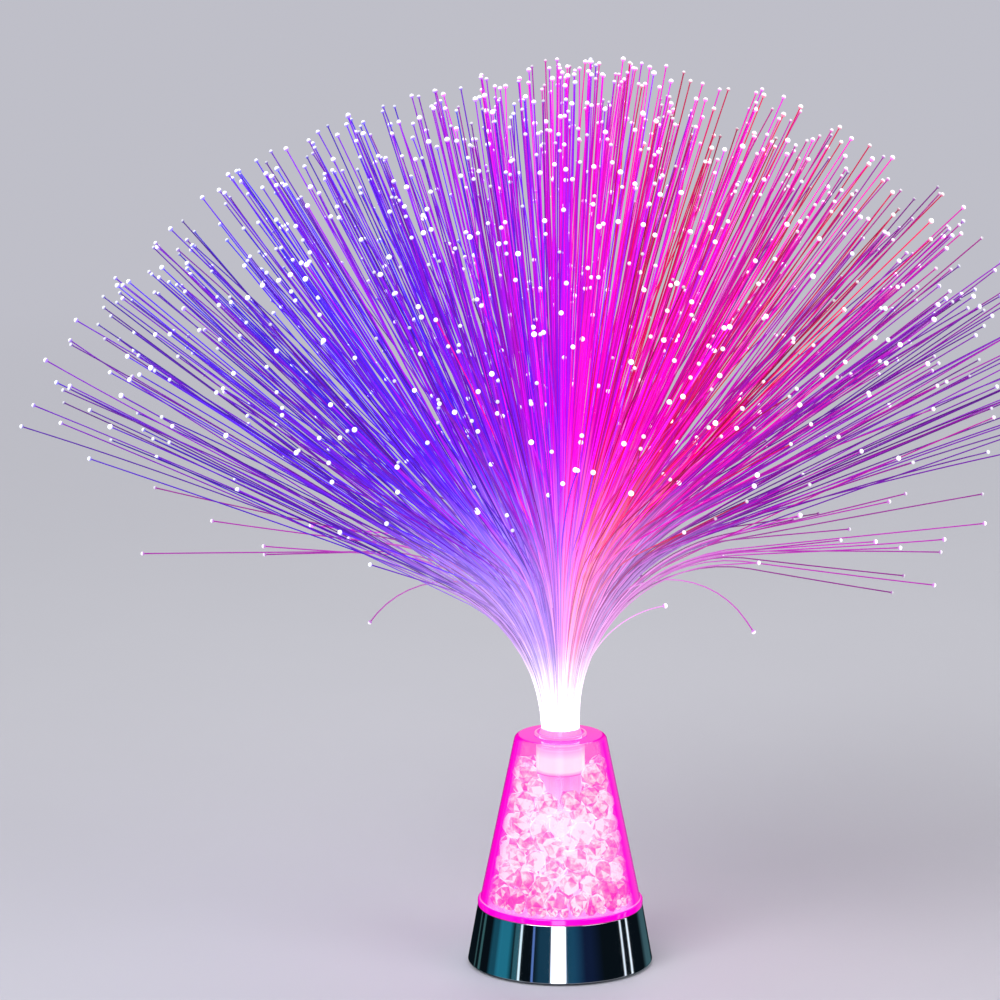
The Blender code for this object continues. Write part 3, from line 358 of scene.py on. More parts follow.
class Surface(Nodes):
    """A node material with one Principled shader, and short calls for what feeds it.

    Scales of noise and cells are in features for each metre. A ramp's stops are (place, value or
    colour).
    """

    def __init__(self, name, colour, roughness, metallic=0.0, **fixed):
        self.material = bpy.data.materials.new(name)
        self.material.use_nodes = True
        super().__init__(self.material.node_tree)
        self.shader = self.tree.nodes["Principled BSDF"]
        self.set("Base Color", (*colour, 1.0))
        self.set("Roughness", roughness)
        self.set("Metallic", metallic)
        for socket, value in fixed.items():
            self.set(socket.replace("_", " "), value)

    def set(self, socket, value):
        """Feeds or sets one input of the Principled shader."""
        self.feed(value, self.shader.inputs[socket])

    def emit(self, colour, strength):
        self.set("Emission Color", colour)
        self.set("Emission Strength", strength)

    def place(self):
        return self.node("TexCoord").outputs["Object"]

    def attribute(self, name, output="Fac"):
        return self.node("Attribute", attribute_name=name).outputs[output]

    def height(self):
        return self.node("SeparateXYZ", {"Vector": self.place()}).outputs[2]

    def from_axis(self):
        """Distance of a surface point from the lamp's axis."""
        parts = self.node("SeparateXYZ", {"Vector": self.place()}).outputs
        squares = [self.math("MULTIPLY", part, part) for part in parts[:2]]
        return self.math("SQRT", self.math("ADD", *squares))

    def inward(self):
        """1 on surfaces that look towards the lamp's axis, else 0."""
        at = self.node("TexCoord").outputs
        inputs = {0: at["Object"], 1: (1.0, 1.0, 0.0)}
        flat = self.node("VectorMath", inputs, operation="MULTIPLY")
        inputs = {0: at["Normal"], 1: flat.outputs[0]}
        dot = self.node("VectorMath", inputs, operation="DOT_PRODUCT")
        return self.math("LESS_THAN", dot.outputs["Value"], 0.0)

    def within(self, value, low, high):
        """1 where a value lies between two others, else 0."""
        above = self.math("GREATER_THAN", value, low)
        return self.math("MULTIPLY", above, self.math("LESS_THAN", value, high))

    def rise(self, value, low, high):
        """0 up to one value and 1 from another, even between."""
        made = self.node("MapRange", {"Value": value, "From Min": low, "From Max": high})
        return made.outputs["Result"]

    def span(self, factor, low, high):
        """A factor from 0 to 1 as a value from low to high."""
        made = self.node("MapRange", {"Value": factor, "To Min": low, "To Max": high})
        return made.outputs["Result"]

    def noise(self, scale, detail=4.0, stretch=None):
        vector = self.place()
        if stretch:
            vector = self.node("Mapping", {"Vector": vector, "Scale": stretch}).outputs[0]
        made = self.node("TexNoise", {"Vector": vector, "Scale": scale, "Detail": detail})
        return made.outputs["Fac"]

    def cells(self, scale, feature="F1"):
        inputs = {"Vector": self.place(), "Scale": scale}
        return self.node("TexVoronoi", inputs, feature=feature).outputs["Distance"]

    def ramp(self, factor, stops):
        node = self.node("ValToRGB", {"Fac": factor})
        elements = node.color_ramp.elements
        while len(elements) < len(stops):
            elements.new(0.5)
        for element, (place, value) in zip(elements, stops):
            colour = value if isinstance(value, tuple) else (value, value, value)
            element.position = place
            element.color = (*colour, 1.0)
        return node.outputs["Color"]

    def mix(self, factor, a, b, blend="MIX"):
        """Two colours mixed. A Mix node has its colours at inputs 6 and 7 and at output 2."""
        node = self.node("Mix", data_type="RGBA", blend_type=blend)
        for value, index in ((factor, 0), (a, 6), (b, 7)):
            self.feed((*value, 1.0) if isinstance(value, tuple) else value, node.inputs[index])
        return node.outputs[2]

    def mottle(self, noise, stops):
        """The base colour, by a ramp of a noise."""
        self.set("Base Color", self.ramp(noise, stops))

    def roughness(self, factor, low, high):
        self.set("Roughness", self.span(factor, low, high))

    def bump(self, height, distance, strength):
        inputs = {"Height": height, "Distance": distance, "Strength": strength}
        self.set("Normal", self.node("Bump", inputs).outputs[0])


def clothe(piece, surface):
    """Puts one material on a piece or on a carried-over node."""
    piece.data.materials.clear()
    piece.data.materials.append(surface.material)


def add(name, mesh, surface, body, slot, *replaced):
    """A finished piece: its object and material, the body that it rides on and what it replaces."""
    piece = bpy.data.objects.new(name, mesh)
    bpy.context.scene.collection.objects.link(piece)
    clothe(piece, surface)
    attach(piece, body)
    if replaced:
        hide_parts(*replaced)
    return piece


def finished(build, name):
    """The mesh of a bmesh, which is then freed."""
    mesh = bpy.data.meshes.new(name)
    build.to_mesh(mesh)
    build.free()
    return mesh


def stage(name, mesh):
    """An object of the studio."""
    thing = bpy.data.objects.new(name, mesh)
    bpy.context.scene.collection.objects.link(thing)
    return thing


def arc(centre, radius, start, end, steps):
    """Points of an arc in a plane, from one angle to another in degrees, both ends included."""
    turns = [math.radians(start + (end - start) * i / steps) for i in range(steps + 1)]
    return [(centre[0] + radius * math.cos(t), centre[1] + radius * math.sin(t)) for t in turns]


def turned(name, profile, steps=TURN_STEPS):
    """A closed solid of revolution from (radius, height) points; points on the axis are poles."""
    build = bmesh.new()
    rings = []
    for radius, height in profile:
        if radius == 0.0:
            rings.append([build.verts.new((0.0, 0.0, height))])
            continue
        turns = [math.tau * i / steps for i in range(steps)]
        places = [(radius * math.cos(t), radius * math.sin(t), height) for t in turns]
        rings.append([build.verts.new(place) for place in places])
    closed = profile[0][0] > 0.0
    pairs = zip(rings, rings[1:] + rings[:1]) if closed else zip(rings, rings[1:])
    for above, below in pairs:
        for i in range(steps):
            j = (i + 1) % steps
            corners = [above[i % len(above)], below[i % len(below)]]
            corners += [below[j % len(below)], above[j % len(above)]]
            build.faces.new(list(dict.fromkeys(corners)))
    bmesh.ops.recalc_face_normals(build, faces=build.faces)
    mesh = finished(build, name)
    mesh.shade_smooth()
    mesh.set_sharp_from_angle(angle=SHARP_ANGLE)
    return mesh


def shade_radius(z):
    """Radius of the cone's outer face at a height."""
    share = (z - SHADE_LOW.z) / (SHADE_TOP_Z - SHADE_LOW.z)
    return SHADE_FOOT_RADIUS + (SHADE_TOP_RADIUS - SHADE_FOOT_RADIUS) * share


def chrome():
    """Polished plating with smudges and a slight ripple."""
    look = Surface("chrome", (0.55, 0.58, 0.62), 0.06, 1.0)
    look.roughness(look.noise(60, 6), 0.02, 0.10)
    look.mottle(look.noise(18), [(0.3, (0.50, 0.53, 0.58)), (0.7, (0.60, 0.63, 0.67))])
    look.bump(look.noise(35, 2), 0.03 * MM, 0.25)
    return look


def clear_pink():
    """The tinted clear wall: see-through in front, deep magenta where it is seen along its wall."""
    look = Surface("clear_pink", (0.40, 0.0, 0.22), 0.08, IOR=PLASTIC_IOR)
    away, height = look.from_axis(), look.height()
    facing = look.node("LayerWeight", {"Blend": 0.5}).outputs["Facing"]
    wavy = look.math("ADD", facing, look.span(look.noise(110, 2), -0.05, 0.05))
    depth_stops = [(0.0, 0.03), (0.22, 0.06), (0.40, 0.14), (0.49, 0.50), (0.58, 1.0)]
    depth = look.ramp(wavy, depth_stops)

    # Where the wall's parts are: 1 on each of them, else 0
    flange_z = SHADE_LOW.z + FLANGE_HEIGHT
    groove_height, skin = 0.45 * MM, 0.3 * MM
    top = look.rise(height, SHADE_TOP_Z - 1.2 * MM, SHADE_TOP_Z - 0.4 * MM)
    rim = look.math("GREATER_THAN", height, SHADE_TOP_Z + 0.1 * MM)
    foot = look.rise(height, flange_z + 0.5 * MM, flange_z)
    groove = look.within(height, flange_z, flange_z + groove_height)
    inner = look.math("LESS_THAN", away, SOCKET_OUTER + skin)
    below_top = look.math("LESS_THAN", height, SHADE_TOP_Z - 0.5 * MM)
    socket = look.math("MULTIPLY", inner, below_top)
    rise = look.rise(height, SOCKET_UNDER_Z, SHADE_TOP_Z)

    pink, hot = (0.98, 0.0, 0.50), (0.98, 0.88, 0.80)
    # Painted glow on the socket: deep pink at its foot, white-hot in its lower half and pink again
    # towards the top.
    glow_stops = [
        (0.0, (0.95, 0.05, 0.5)),
        (0.06, (1.0, 0.5, 0.7)),
        (0.12, hot),
        (0.45, hot),
        (0.7, (0.98, 0.42, 0.66)),
        (1.0, pink),
    ]
    glow = look.ramp(rise, glow_stops)
    colour = look.mix(top, (1.0, 0.0, 0.62), pink)
    # Painted highlight: the raised rim is paler, as where light falls on its top.
    colour = look.mix(rim, colour, (0.98, 0.36, 0.66))
    # Painted highlight: a paler line along the groove above the flange.
    colour = look.mix(groove, colour, (1.0, 0.26, 0.74))
    colour = look.mix(look.inward(), colour, (0.95, 0.06, 0.50))
    colour = look.mix(socket, colour, glow)
    # Painted highlights: two bright bands near the top of the socket, where its moulded rings catch
    # the light
    highlight_band_stops = [(0.66, 0.0), (0.69, 0.6), (0.72, 0.0), (0.80, 0.0), (0.83, 0.7), (0.87, 0.0)]
    ring = look.math("MULTIPLY", socket, look.ramp(rise, highlight_band_stops))
    look.emit(look.mix(ring, colour, (1.0, 0.72, 0.82)), 0.92)

    socket_alpha, inward_alpha = 0.85, 0.8
    alpha = look.math("MAXIMUM", depth, look.math("MULTIPLY", socket, socket_alpha))
    alpha = look.math("MAXIMUM", alpha, look.math("MULTIPLY", look.inward(), inward_alpha))
    alpha = look.math("MAXIMUM", alpha, foot)
    inside = look.node("NewGeometry").outputs["Backfacing"]
    outside = look.math("SUBTRACT", 1.0, inside)
    look.set("Alpha", look.math("MULTIPLY", alpha, outside))

    gloss = look.node("BsdfGlossy", {"Roughness": 0.04})
    shine = look.node("Fresnel", {"IOR": 1.22}).outputs[0]
    factor = look.math("MULTIPLY", shine, outside)
    look.show(look.blend(factor, look.shader.outputs[0], gloss.outputs[0]))
    return look


def cut_stone():
    """Clear pink stones with painted light: their facets catch it unevenly, and their glow is
    hottest at half height.
    """
    look = Surface("crystal", (0.60, 0.08, 0.34), 0.04, IOR=1.5)
    look.set("Transmission Weight", 0.2)
    height = look.height()
    # Painted glow, strongest at half height.
    low_fade = look.rise(height, 26 * MM, 40 * MM)
    high_fade = look.rise(height, 80 * MM, 58 * MM)
    half_height_glow = look.math("MULTIPLY", look.math("MULTIPLY", low_fade, high_fade), 0.30)
    # Painted glints: the glow varies in patches, in fine flecks and from facet to facet.
    patch = look.span(look.noise(150, 3), -0.65, 0.65)
    grain = look.span(look.noise(700, 3), -0.45, 0.45)
    spark = look.span(look.attribute("spark"), -0.42, 0.62)
    total = look.math("ADD", look.math("ADD", spark, patch), look.math("ADD", grain, half_height_glow))
    glow_stops = [
        (0.00, (0.90, 0.03, 0.38)),
        (0.20, (0.94, 0.09, 0.42)),
        (0.40, (0.96, 0.23, 0.46)),
        (0.58, (0.97, 0.46, 0.56)),
        (0.74, (0.98, 0.80, 0.74)),
        (0.86, (1.00, 1.00, 0.92)),
    ]
    look.emit(look.ramp(look.math("ADD", total, 0.33), glow_stops), 0.76)
    look.roughness(look.noise(400, 2), 0.0, 0.08)
    return look


def lit_tube():
    """The clear tube that carries the light up: pale pink, deeper near its top, with streaks."""
    look = Surface("lit_tube", (0.6, 0.4, 0.5), 0.2)
    rise = look.rise(look.height(), TUBE_LOW.z, TUBE_HIGH.z)
    glow_stops = [
        (0.0, (1.0, 0.35, 0.62)),
        (0.35, (1.0, 0.70, 0.80)),
        (0.72, (1.0, 0.62, 0.76)),
        (0.84, (0.98, 0.34, 0.64)),
        (1.0, (0.98, 0.24, 0.58)),
    ]
    glow = look.ramp(rise, glow_stops)
    streak = look.ramp(look.noise(220, 3, (1, 1, 0.2)), [(0.3, 0.7), (0.7, 1.0)])
    look.emit(look.mix(1.0, glow, streak, "MULTIPLY"), 1.0)
    return look


def clear_plastic():
    """Clear moulded plastic, lit pink from inside."""
    look = Surface("clear_plastic", (0.95, 0.6, 0.8), 0.12, IOR=PLASTIC_IOR)
    look.set("Transmission Weight", 0.8)
    look.emit((1.0, 0.25, 0.6, 1.0), 0.4)
    look.roughness(look.noise(300), 0.05, 0.2)
    return look


def strand_glow():
    """Light carried by the strands: white-hot at the root, then each strand's own colour."""
    look = Surface("strand", (0.10, 0.02, 0.16), 0.25)
    look.set("Specular IOR Level", 0.25)
    along, level = look.attribute("along"), look.attribute("level")
    own = look.attribute("own", "Color")
    pale = look.mix(0.5, own, (1.0, 0.70, 1.0))
    warm = look.mix(look.ramp(along, [(0.15, 0.0), (0.48, 1.0)]), pale, own)
    hot = look.mix(look.ramp(along, [(0.05, 0.0), (0.16, 1.0)]), (1.0, 0.93, 1.0), warm)
    flicker = look.span(look.noise(120, 2), 0.8, 1.15)
    fade = look.ramp(along, [(0.0, 1.0), (0.13, 0.55), (0.45, 0.50), (1.0, 0.40)])
    strength = look.math("MULTIPLY", look.math("MULTIPLY", level, flicker), fade)
    look.emit(hot, look.math("MULTIPLY", strength, 2.0))
    look.set("Base Color", look.mix(0.7, own, (0.02, 0.01, 0.04)))
    return look


def tip_glow():
    """The bright cut ends of the strands, in the strand's own colour towards the strand."""
    look = Surface("tip", (0.5, 0.5, 0.6), 0.3)
    look.set("Specular IOR Level", 0.25)
    cap, level = look.attribute("cap"), look.attribute("level")
    own = look.attribute("own", "Color")
    rear = look.mix(0.22, own, (0.6, 0.75, 1.0))
    front = look.mix(0.86, own, (0.93, 0.97, 1.0))
    glow = look.mix(look.ramp(cap, [(0.30, 0.0), (0.62, 1.0)]), rear, front)
    look.emit(glow, look.math("MULTIPLY", level, 1.05))
    look.set("Base Color", look.mix(0.5, glow, BLACK))
    return look


def plug_resin():
    """Clear resin round the strands' roots, bright with the light that goes through it."""
    look = Surface("plug_resin", (0.7, 0.2, 0.4), 0.15)
    ends = 1800
    dots = look.ramp(look.cells(ends), [(0.25, (1.0, 0.95, 1.0)), (0.5, (1.0, 0.5, 0.9))])
    above = look.rise(look.height(), SLUG_TOP_Z - 0.3 * MM, SLUG_TOP_Z)
    colour = look.mix(above, dots, (0.98, 0.22, 0.50))
    look.emit(colour, look.span(above, 1.3, 0.95))
    look.bump(look.cells(ends), 0.05 * MM, 0.4)
    return look


def black_plastic():
    """Black moulded plastic with a fine spark texture."""
    look = Surface("black_plastic", (0.02, 0.02, 0.022), 0.45)
    grain = look.noise(2600, 3)
    look.roughness(look.noise(90), 0.38, 0.55)
    look.mottle(look.noise(150, 5), [(0.3, (0.016, 0.016, 0.018)), (0.75, (0.032, 0.032, 0.036))])
    look.bump(grain, 0.04 * MM, 0.5)
    return look


def rubber():
    """Matt black rubber, slightly dusty."""
    look = Surface("rubber", (0.015, 0.015, 0.015), 0.85)
    look.mottle(look.noise(400, 5), [(0.3, (0.012, 0.012, 0.012)), (0.8, (0.03, 0.03, 0.03))])
    look.bump(look.noise(1500), 0.05 * MM, 0.4)
    return look


def steel():
    """Plated spring steel with fine drawing lines."""
    look = Surface("steel", (0.6, 0.6, 0.58), 0.3, 1.0)
    look.roughness(look.noise(500, 4, (1, 1, 0.1)), 0.2, 0.42)
    look.mottle(look.noise(70), [(0.3, (0.52, 0.52, 0.50)), (0.7, (0.66, 0.66, 0.64))])
    return look


def cell_jacket():
    """A plain dark jacket with a slight sheen."""
    look = Surface("cell_jacket", (0.05, 0.05, 0.06), 0.3, 0.35)
    look.roughness(look.noise(200), 0.22, 0.4)
    look.mottle(look.noise(40), [(0.3, (0.035, 0.035, 0.045)), (0.7, (0.06, 0.06, 0.07))])
    return look


def board_green():
    """Solder mask with copper tracks that show faintly through it."""
    look = Surface("board", (0.02, 0.2, 0.07), 0.35)
    tracks = look.cells(380, "DISTANCE_TO_EDGE")
    look.mottle(tracks, [(0.04, (0.03, 0.28, 0.10)), (0.08, (0.015, 0.15, 0.05))])
    look.bump(tracks, 0.03 * MM, 0.3)
    return look


def small_colour(name, colour, roughness=0.45):
    """Insulation, lamp lenses and the like: one colour with a slight mottle and gloss change."""
    look = Surface(name, colour, roughness)
    dark = tuple(c * 0.8 for c in colour)
    look.mottle(look.noise(300), [(0.3, dark), (0.7, colour)])
    look.roughness(look.noise(500), roughness * 0.8, roughness * 1.2)
    return look


def make_base(look):
    """The chromed skirt with its deck, as one smooth turned shell."""
    foot, top = BASE_HIGH.x, SHADE_HIGH.x
    hole = TUBE_HIGH.x + TUBE_GAP
    under = BASE_HIGH.z - BASE_WALL
    edge = (top - BASE_ROUND, BASE_HIGH.z - BASE_ROUND)
    lip = (foot - BASE_LIP, BASE_LOW.z + BASE_LIP)
    profile = [
        (hole, BASE_HIGH.z),
        *arc(edge, BASE_ROUND, 90, 10, steps=8),
        *arc(lip, BASE_LIP, 9, -90, steps=6),
        (foot - BASE_WALL, BASE_LOW.z),
        (top - BASE_WALL, under),
        (hole, under),
    ]
    add("chrome_skirt", turned("chrome_skirt", profile), look, "base", "chrome", "chrome_base")


def make_shade(look):
    """The clear cone with its foot flange, rounded top, raised rim and hanging socket."""
    flange_z = SHADE_LOW.z + FLANGE_HEIGHT
    under_top = SHADE_TOP_Z - SHADE_WALL
    lip_z = SOCKET_UNDER_Z + SOCKET_LIP_HEIGHT
    top = (SHADE_TOP_RADIUS - SHADE_TOP_ROUND, SHADE_TOP_Z - SHADE_TOP_ROUND)
    rim_out = (RIM_RADIUS - RIM_ROUND, SHADE_HIGH.z - RIM_ROUND)
    rim_in = (SOCKET_BORE + RIM_ROUND, SHADE_HIGH.z - RIM_ROUND)
    flange = (SHADE_HIGH.x - FLANGE_ROUND, flange_z - FLANGE_ROUND)
    profile = [
        *arc(rim_in, RIM_ROUND, 180, 90, steps=5),
        *arc(rim_out, RIM_ROUND, 90, 0, steps=5),
        (RIM_RADIUS, SHADE_TOP_Z),
        *arc(top, SHADE_TOP_ROUND, 90, 12, steps=10),
        (shade_radius(flange_z + FILLET_HEIGHT), flange_z + FILLET_HEIGHT),
        (shade_radius(flange_z) + FILLET_PROUD, flange_z),
        *arc(flange, FLANGE_ROUND, 90, 0, steps=4),
        (SHADE_HIGH.x, SHADE_LOW.z),
        (shade_radius(SHADE_LOW.z) - SHADE_WALL, SHADE_LOW.z),
        (shade_radius(under_top) - SHADE_WALL, under_top),
        (SOCKET_OUTER, under_top),
        (SOCKET_OUTER, SOCKET_UNDER_Z),
        (SOCKET_LIP, SOCKET_UNDER_Z),
        (SOCKET_LIP, lip_z),
        (SOCKET_BORE, lip_z),
    ]
    add("clear_cone", turned("clear_cone", profile), look, "base", "clear_pink", "shade")


def round_axis(away, turn, z):
    """Places at distances and angles round the axis, one to a row."""
    return np.stack([away * np.cos(turn), away * np.sin(turn), z], 1)


def settle_stones():
    """Centres and radii of stones that fill the cone: pushed apart, down and off the walls."""
    draw = np.random.default_rng(STONE_SEED)
    radius = draw.uniform(*STONE_RADII, STONE_COUNT)
    low, high = STONE_FLOOR_Z, SHADE_TOP_Z - SHADE_WALL
    z = low + (high - low) * draw.random(STONE_COUNT) ** LOW_POWER
    outer = np.array([shade_radius(h) for h in z]) - SHADE_WALL - radius
    inner = SOCKET_OUTER + radius
    away = np.sqrt(draw.uniform(inner**2, np.maximum(outer, inner + MM) ** 2))
    places = round_axis(away, draw.random(STONE_COUNT) * math.tau, z)
    slope = (SHADE_FOOT_RADIUS - SHADE_TOP_RADIUS) / (SHADE_TOP_Z - SHADE_LOW.z)
    sums = radius[:, None] + radius[None, :]
    for step in range(SETTLE_STEPS):
        places[:, 2] -= SETTLE_FALL * (1 - step / SETTLE_STEPS)
        apart = places[:, None, :] - places[None, :, :]
        distance = np.linalg.norm(apart, axis=2) + np.eye(STONE_COUNT)
        press = np.clip(sums - distance, 0.0, None) * (1 - np.eye(STONE_COUNT))
        places += (apart / distance[:, :, None] * press[:, :, None]).sum(1) * SETTLE_PUSH
        flat = np.linalg.norm(places[:, :2], axis=1)
        wall = SHADE_FOOT_RADIUS - slope * (places[:, 2] - SHADE_LOW.z) - SHADE_WALL
        outer = wall - radius * WALL_SHARE
        beside_socket = places[:, 2] + radius > SOCKET_UNDER_Z
        inner = np.where(beside_socket, SOCKET_OUTER, TUBE_HIGH.x) + radius
        wanted = np.clip(flat, inner, np.maximum(outer, inner))
        places[:, :2] *= (wanted / np.maximum(flat, MM))[:, None]
        places[:, 2] = np.clip(places[:, 2], low + radius, high - radius)
    # The fill ends below the socket in front of it, and is heaped a little higher at its sides
    sideways = np.abs(places[:, 0]) / np.linalg.norm(places[:, :2], axis=1)
    kept = places[:, 2] + radius < high - FILL_TOP * (1.0 - HEAP_SHARE * sideways)

    chips = draw.uniform(*CHIP_RADII, CHIP_COUNT)
    nudge = draw.uniform(-CHIP_TURN_SCATTER, CHIP_TURN_SCATTER, CHIP_COUNT)
    turn = (np.arange(CHIP_COUNT) + nudge) * math.tau / CHIP_COUNT
    away = shade_radius(low) - SHADE_WALL - CHIP_WALL_SHARE * chips
    corner = round_axis(away, turn, low + chips)
    return np.concatenate([places[kept], corner]), np.concatenate([radius[kept], chips])


def add_stone(build, place, radius, draw):
    """One cut stone: the hull of points spread over a slightly squashed ball."""
    tilt = Matrix.Rotation(draw.uniform(0, math.pi), 3, "X")
    spin = Matrix.Rotation(draw.uniform(0, math.tau), 3, "Z") @ tilt
    squash = Vector((*[draw.uniform(*limits) for limits in STONE_SQUASH], 1.0))
    verts = []
    for i in range(STONE_POINTS):
        up = 1 - 2 * (i + 0.5) / STONE_POINTS
        turn = GOLDEN_TURN * i + draw.uniform(-STONE_TURN_SCATTER, STONE_TURN_SCATTER)
        out = math.sqrt(1 - up * up)
        way = Vector((out * math.cos(turn), out * math.sin(turn), up))
        point = spin @ (way * radius * draw.uniform(*STONE_POINT_SHARES) * squash)
        verts.append(build.verts.new(Vector(place) + point))
    bmesh.ops.convex_hull(build, input=verts)


def make_stones(look):
    """The loose stones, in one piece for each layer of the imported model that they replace."""
    places, radii = settle_stones()
    layers = sorted(name for name in NODES if name.startswith("crystal_layer"))
    middles = [(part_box(name)[0].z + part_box(name)[1].z) / 2 for name in layers]
    nearest = [min(range(len(layers)), key=lambda k: abs(middles[k] - p[2])) for p in places]
    draw = random.Random(CUT_SEED)
    for k, name in enumerate(layers):
        mine = [i for i, layer in enumerate(nearest) if layer == k]
        build = bmesh.new()
        spark = build.faces.layers.float.new("spark")
        for i in mine:
            add_stone(build, places[i], radii[i], draw)
        own = [draw.random() for _ in mine]
        for face in build.faces:
            middle = np.array(face.calc_center_median())
            off = np.linalg.norm(places[mine] - middle, axis=1) - radii[mine]
            stone = own[int(np.argmin(off))]
            face[spark] = (1 - OWN_SHARE) * draw.random() + OWN_SHARE * stone
        mesh = finished(build, f"stones_{k + 1}")
        add(f"stones_{k + 1}", mesh, look, "base", "crystal", name)


def even_strands(draw):
    """Rows that shape the evenly spread strands: the way they go, how far they lean out, where
    their bend starts, how long it is, their length, their droop and their place in the bundle.
    """
    index = np.arange(STRAND_COUNT)
    share = (index + 0.5) / STRAND_COUNT
    turn = index * GOLDEN_TURN + draw.normal(0.0, TURN_SCATTER, STRAND_COUNT)
    scatter = 1 + draw.normal(0.0, SPREAD_SCATTER, STRAND_COUNT)
    spread = LARGEST_SPREAD * share**SPREAD_POWER * scatter
    spread += draw.normal(0.0, SPREAD_WOBBLE, STRAND_COUNT)
    spread *= 1 - FRONT_LIFT * np.clip(-np.sin(turn), 0.0, 1.0) ** FRONT_LIFT_POWER
    bend = BEND_LENGTH * np.clip(draw.normal(1.0, BEND_SCATTER, STRAND_COUNT), *BEND_LIMITS)
    short = draw.random(STRAND_COUNT) < SHORT_SHARE
    trim = TRIM_SHARE * draw.random(STRAND_COUNT) ** TRIM_POWER
    trim += short * SHORT_DEPTH * draw.random(STRAND_COUNT)
    length = STRAND_LENGTH * (1 - trim)
    west = np.clip(-np.cos(turn), 0.0, 1.0)
    begin = BEND_START + (WEST_BEND_START - BEND_START) * west
    bend *= 1 - WEST_BEND_CUT * west
    spread *= 1 - WEST_SPREAD_CUT * west
    length *= 1 - WEST_LENGTH_CUT * west
    droop = np.clip(spread - DROOP_FROM, 0.0, None) * DROOP_SHARE
    droop += np.abs(draw.normal(0.0, DROOP_SCATTER, STRAND_COUNT))
    return np.stack([turn, spread, begin, bend, length, droop, share])


def stray_strands():
    """The same rows for the strands that stray from the rest."""
    columns = np.array(STRAYS, float).T
    places = np.linspace(*STRAY_PLACES, len(STRAYS))
    return np.stack([*np.radians(columns[:2]), *(columns[2:] * MM), np.zeros(len(STRAYS)), places])


def strand_lines():
    """Centre lines of the strands as an array (strand, step, 3), how far along each point lies, and
    each strand's colour and level.
    """
    draw = np.random.default_rng(STRAND_SEED)
    rows = np.concatenate([even_strands(draw), stray_strands()], axis=1)
    turn, spread, begin, bend, length, droop, share = rows
    total = len(turn)
    lean = draw.normal(0.0, LEAN_SCATTER, total)
    start = BUNDLE_RADIUS * np.sqrt(share)

    steps = np.linspace(0.0, 1.0, STRAND_STEPS) ** STEP_POWER
    room = SPRAY_HIGH.z - SLUG_TOP_Z + STRAND_SINK
    zero = np.zeros((total, 1))
    for _ in range(FIT_ROUNDS):
        along = steps[None, :] * length[:, None]
        middle = (along[:, 1:] + along[:, :-1]) / 2
        width = np.diff(along, axis=1)
        bent = np.clip((middle - begin[:, None]) / bend[:, None], 0.0, 1.0)
        angle = spread[:, None] * bent + droop[:, None] * (middle / STRAND_LENGTH) ** 2
        run = np.concatenate([zero, np.cumsum(np.sin(angle) * width, axis=1)], 1)
        rise = np.concatenate([zero, np.cumsum(np.cos(angle) * width, axis=1)], 1)
        wide = np.clip(start + run[:, -1] - SPRAY_REACH, 0.0, None)
        high = np.clip(rise[:, -1] - room, 0.0, None)
        length = length - np.maximum(wide, high) * FIT_CUT
    out = start[:, None] + run
    way = turn[:, None] + lean[:, None] * steps[None, :] ** 2
    height = SLUG_TOP_Z - STRAND_SINK + rise
    lines = np.stack([out * np.cos(way), out * np.sin(way), height], 2)
    tip = lines[:, -1, :]
    aside = np.degrees(np.arctan2(tip[:, 0], tip[:, 2] - SLUG_TOP_Z))
    level = np.clip(draw.normal(LEVEL, LEVEL_SCATTER, total), *LEVEL_LIMITS)
    colours = strand_colours(aside, draw)
    colours[STRAND_COUNT:] = STRAY_COLOUR
    return lines, along, colours, level


def strand_colours(aside, draw):
    """Each strand's own colour by where its tip lies to the side, with odd violet and red ones."""
    nudged = aside + draw.normal(0.0, COLOUR_JITTER, aside.shape)
    sides, shades = zip(*STRAND_COLOURS)
    colours = np.stack([np.interp(nudged, sides, part) for part in zip(*shades)], 1)
    violet = VIOLET_SHARE * draw.random(aside.shape) ** 2 * (aside < VIOLET_SIDE)
    colours += (np.array(VIOLET) - colours) * violet[:, None]
    there = (aside > RED_SIDES[0]) & (aside < RED_SIDES[1])
    colours[(draw.random(aside.shape) < RED_SHARE) & there] = RED
    return colours


def keep_attribute(mesh, name, values):
    """Stores one number or one colour for each point of a mesh."""
    colour = values.ndim == 2
    made = mesh.attributes.new(name, "FLOAT_COLOR" if colour else "FLOAT", "POINT")
    if colour:
        values = np.concatenate([values, np.ones((len(values), 1))], 1)
    made.data.foreach_set("color" if colour else "value", values.astype(np.float32).ravel())


def glowing_mesh(name, points, faces, level, colours, **extra):
    """A mesh of alike parts, one to a strand, with its strand's level and colour at each point."""
    each = len(points) // len(level)
    mesh = bpy.data.meshes.new(name)
    mesh.from_pydata(points, [], faces)
    for key, values in extra.items():
        keep_attribute(mesh, key, values)
    keep_attribute(mesh, "level", np.repeat(level, each))
    keep_attribute(mesh, "own", np.repeat(colours, each, axis=0))
    mesh.shade_smooth()
    return mesh


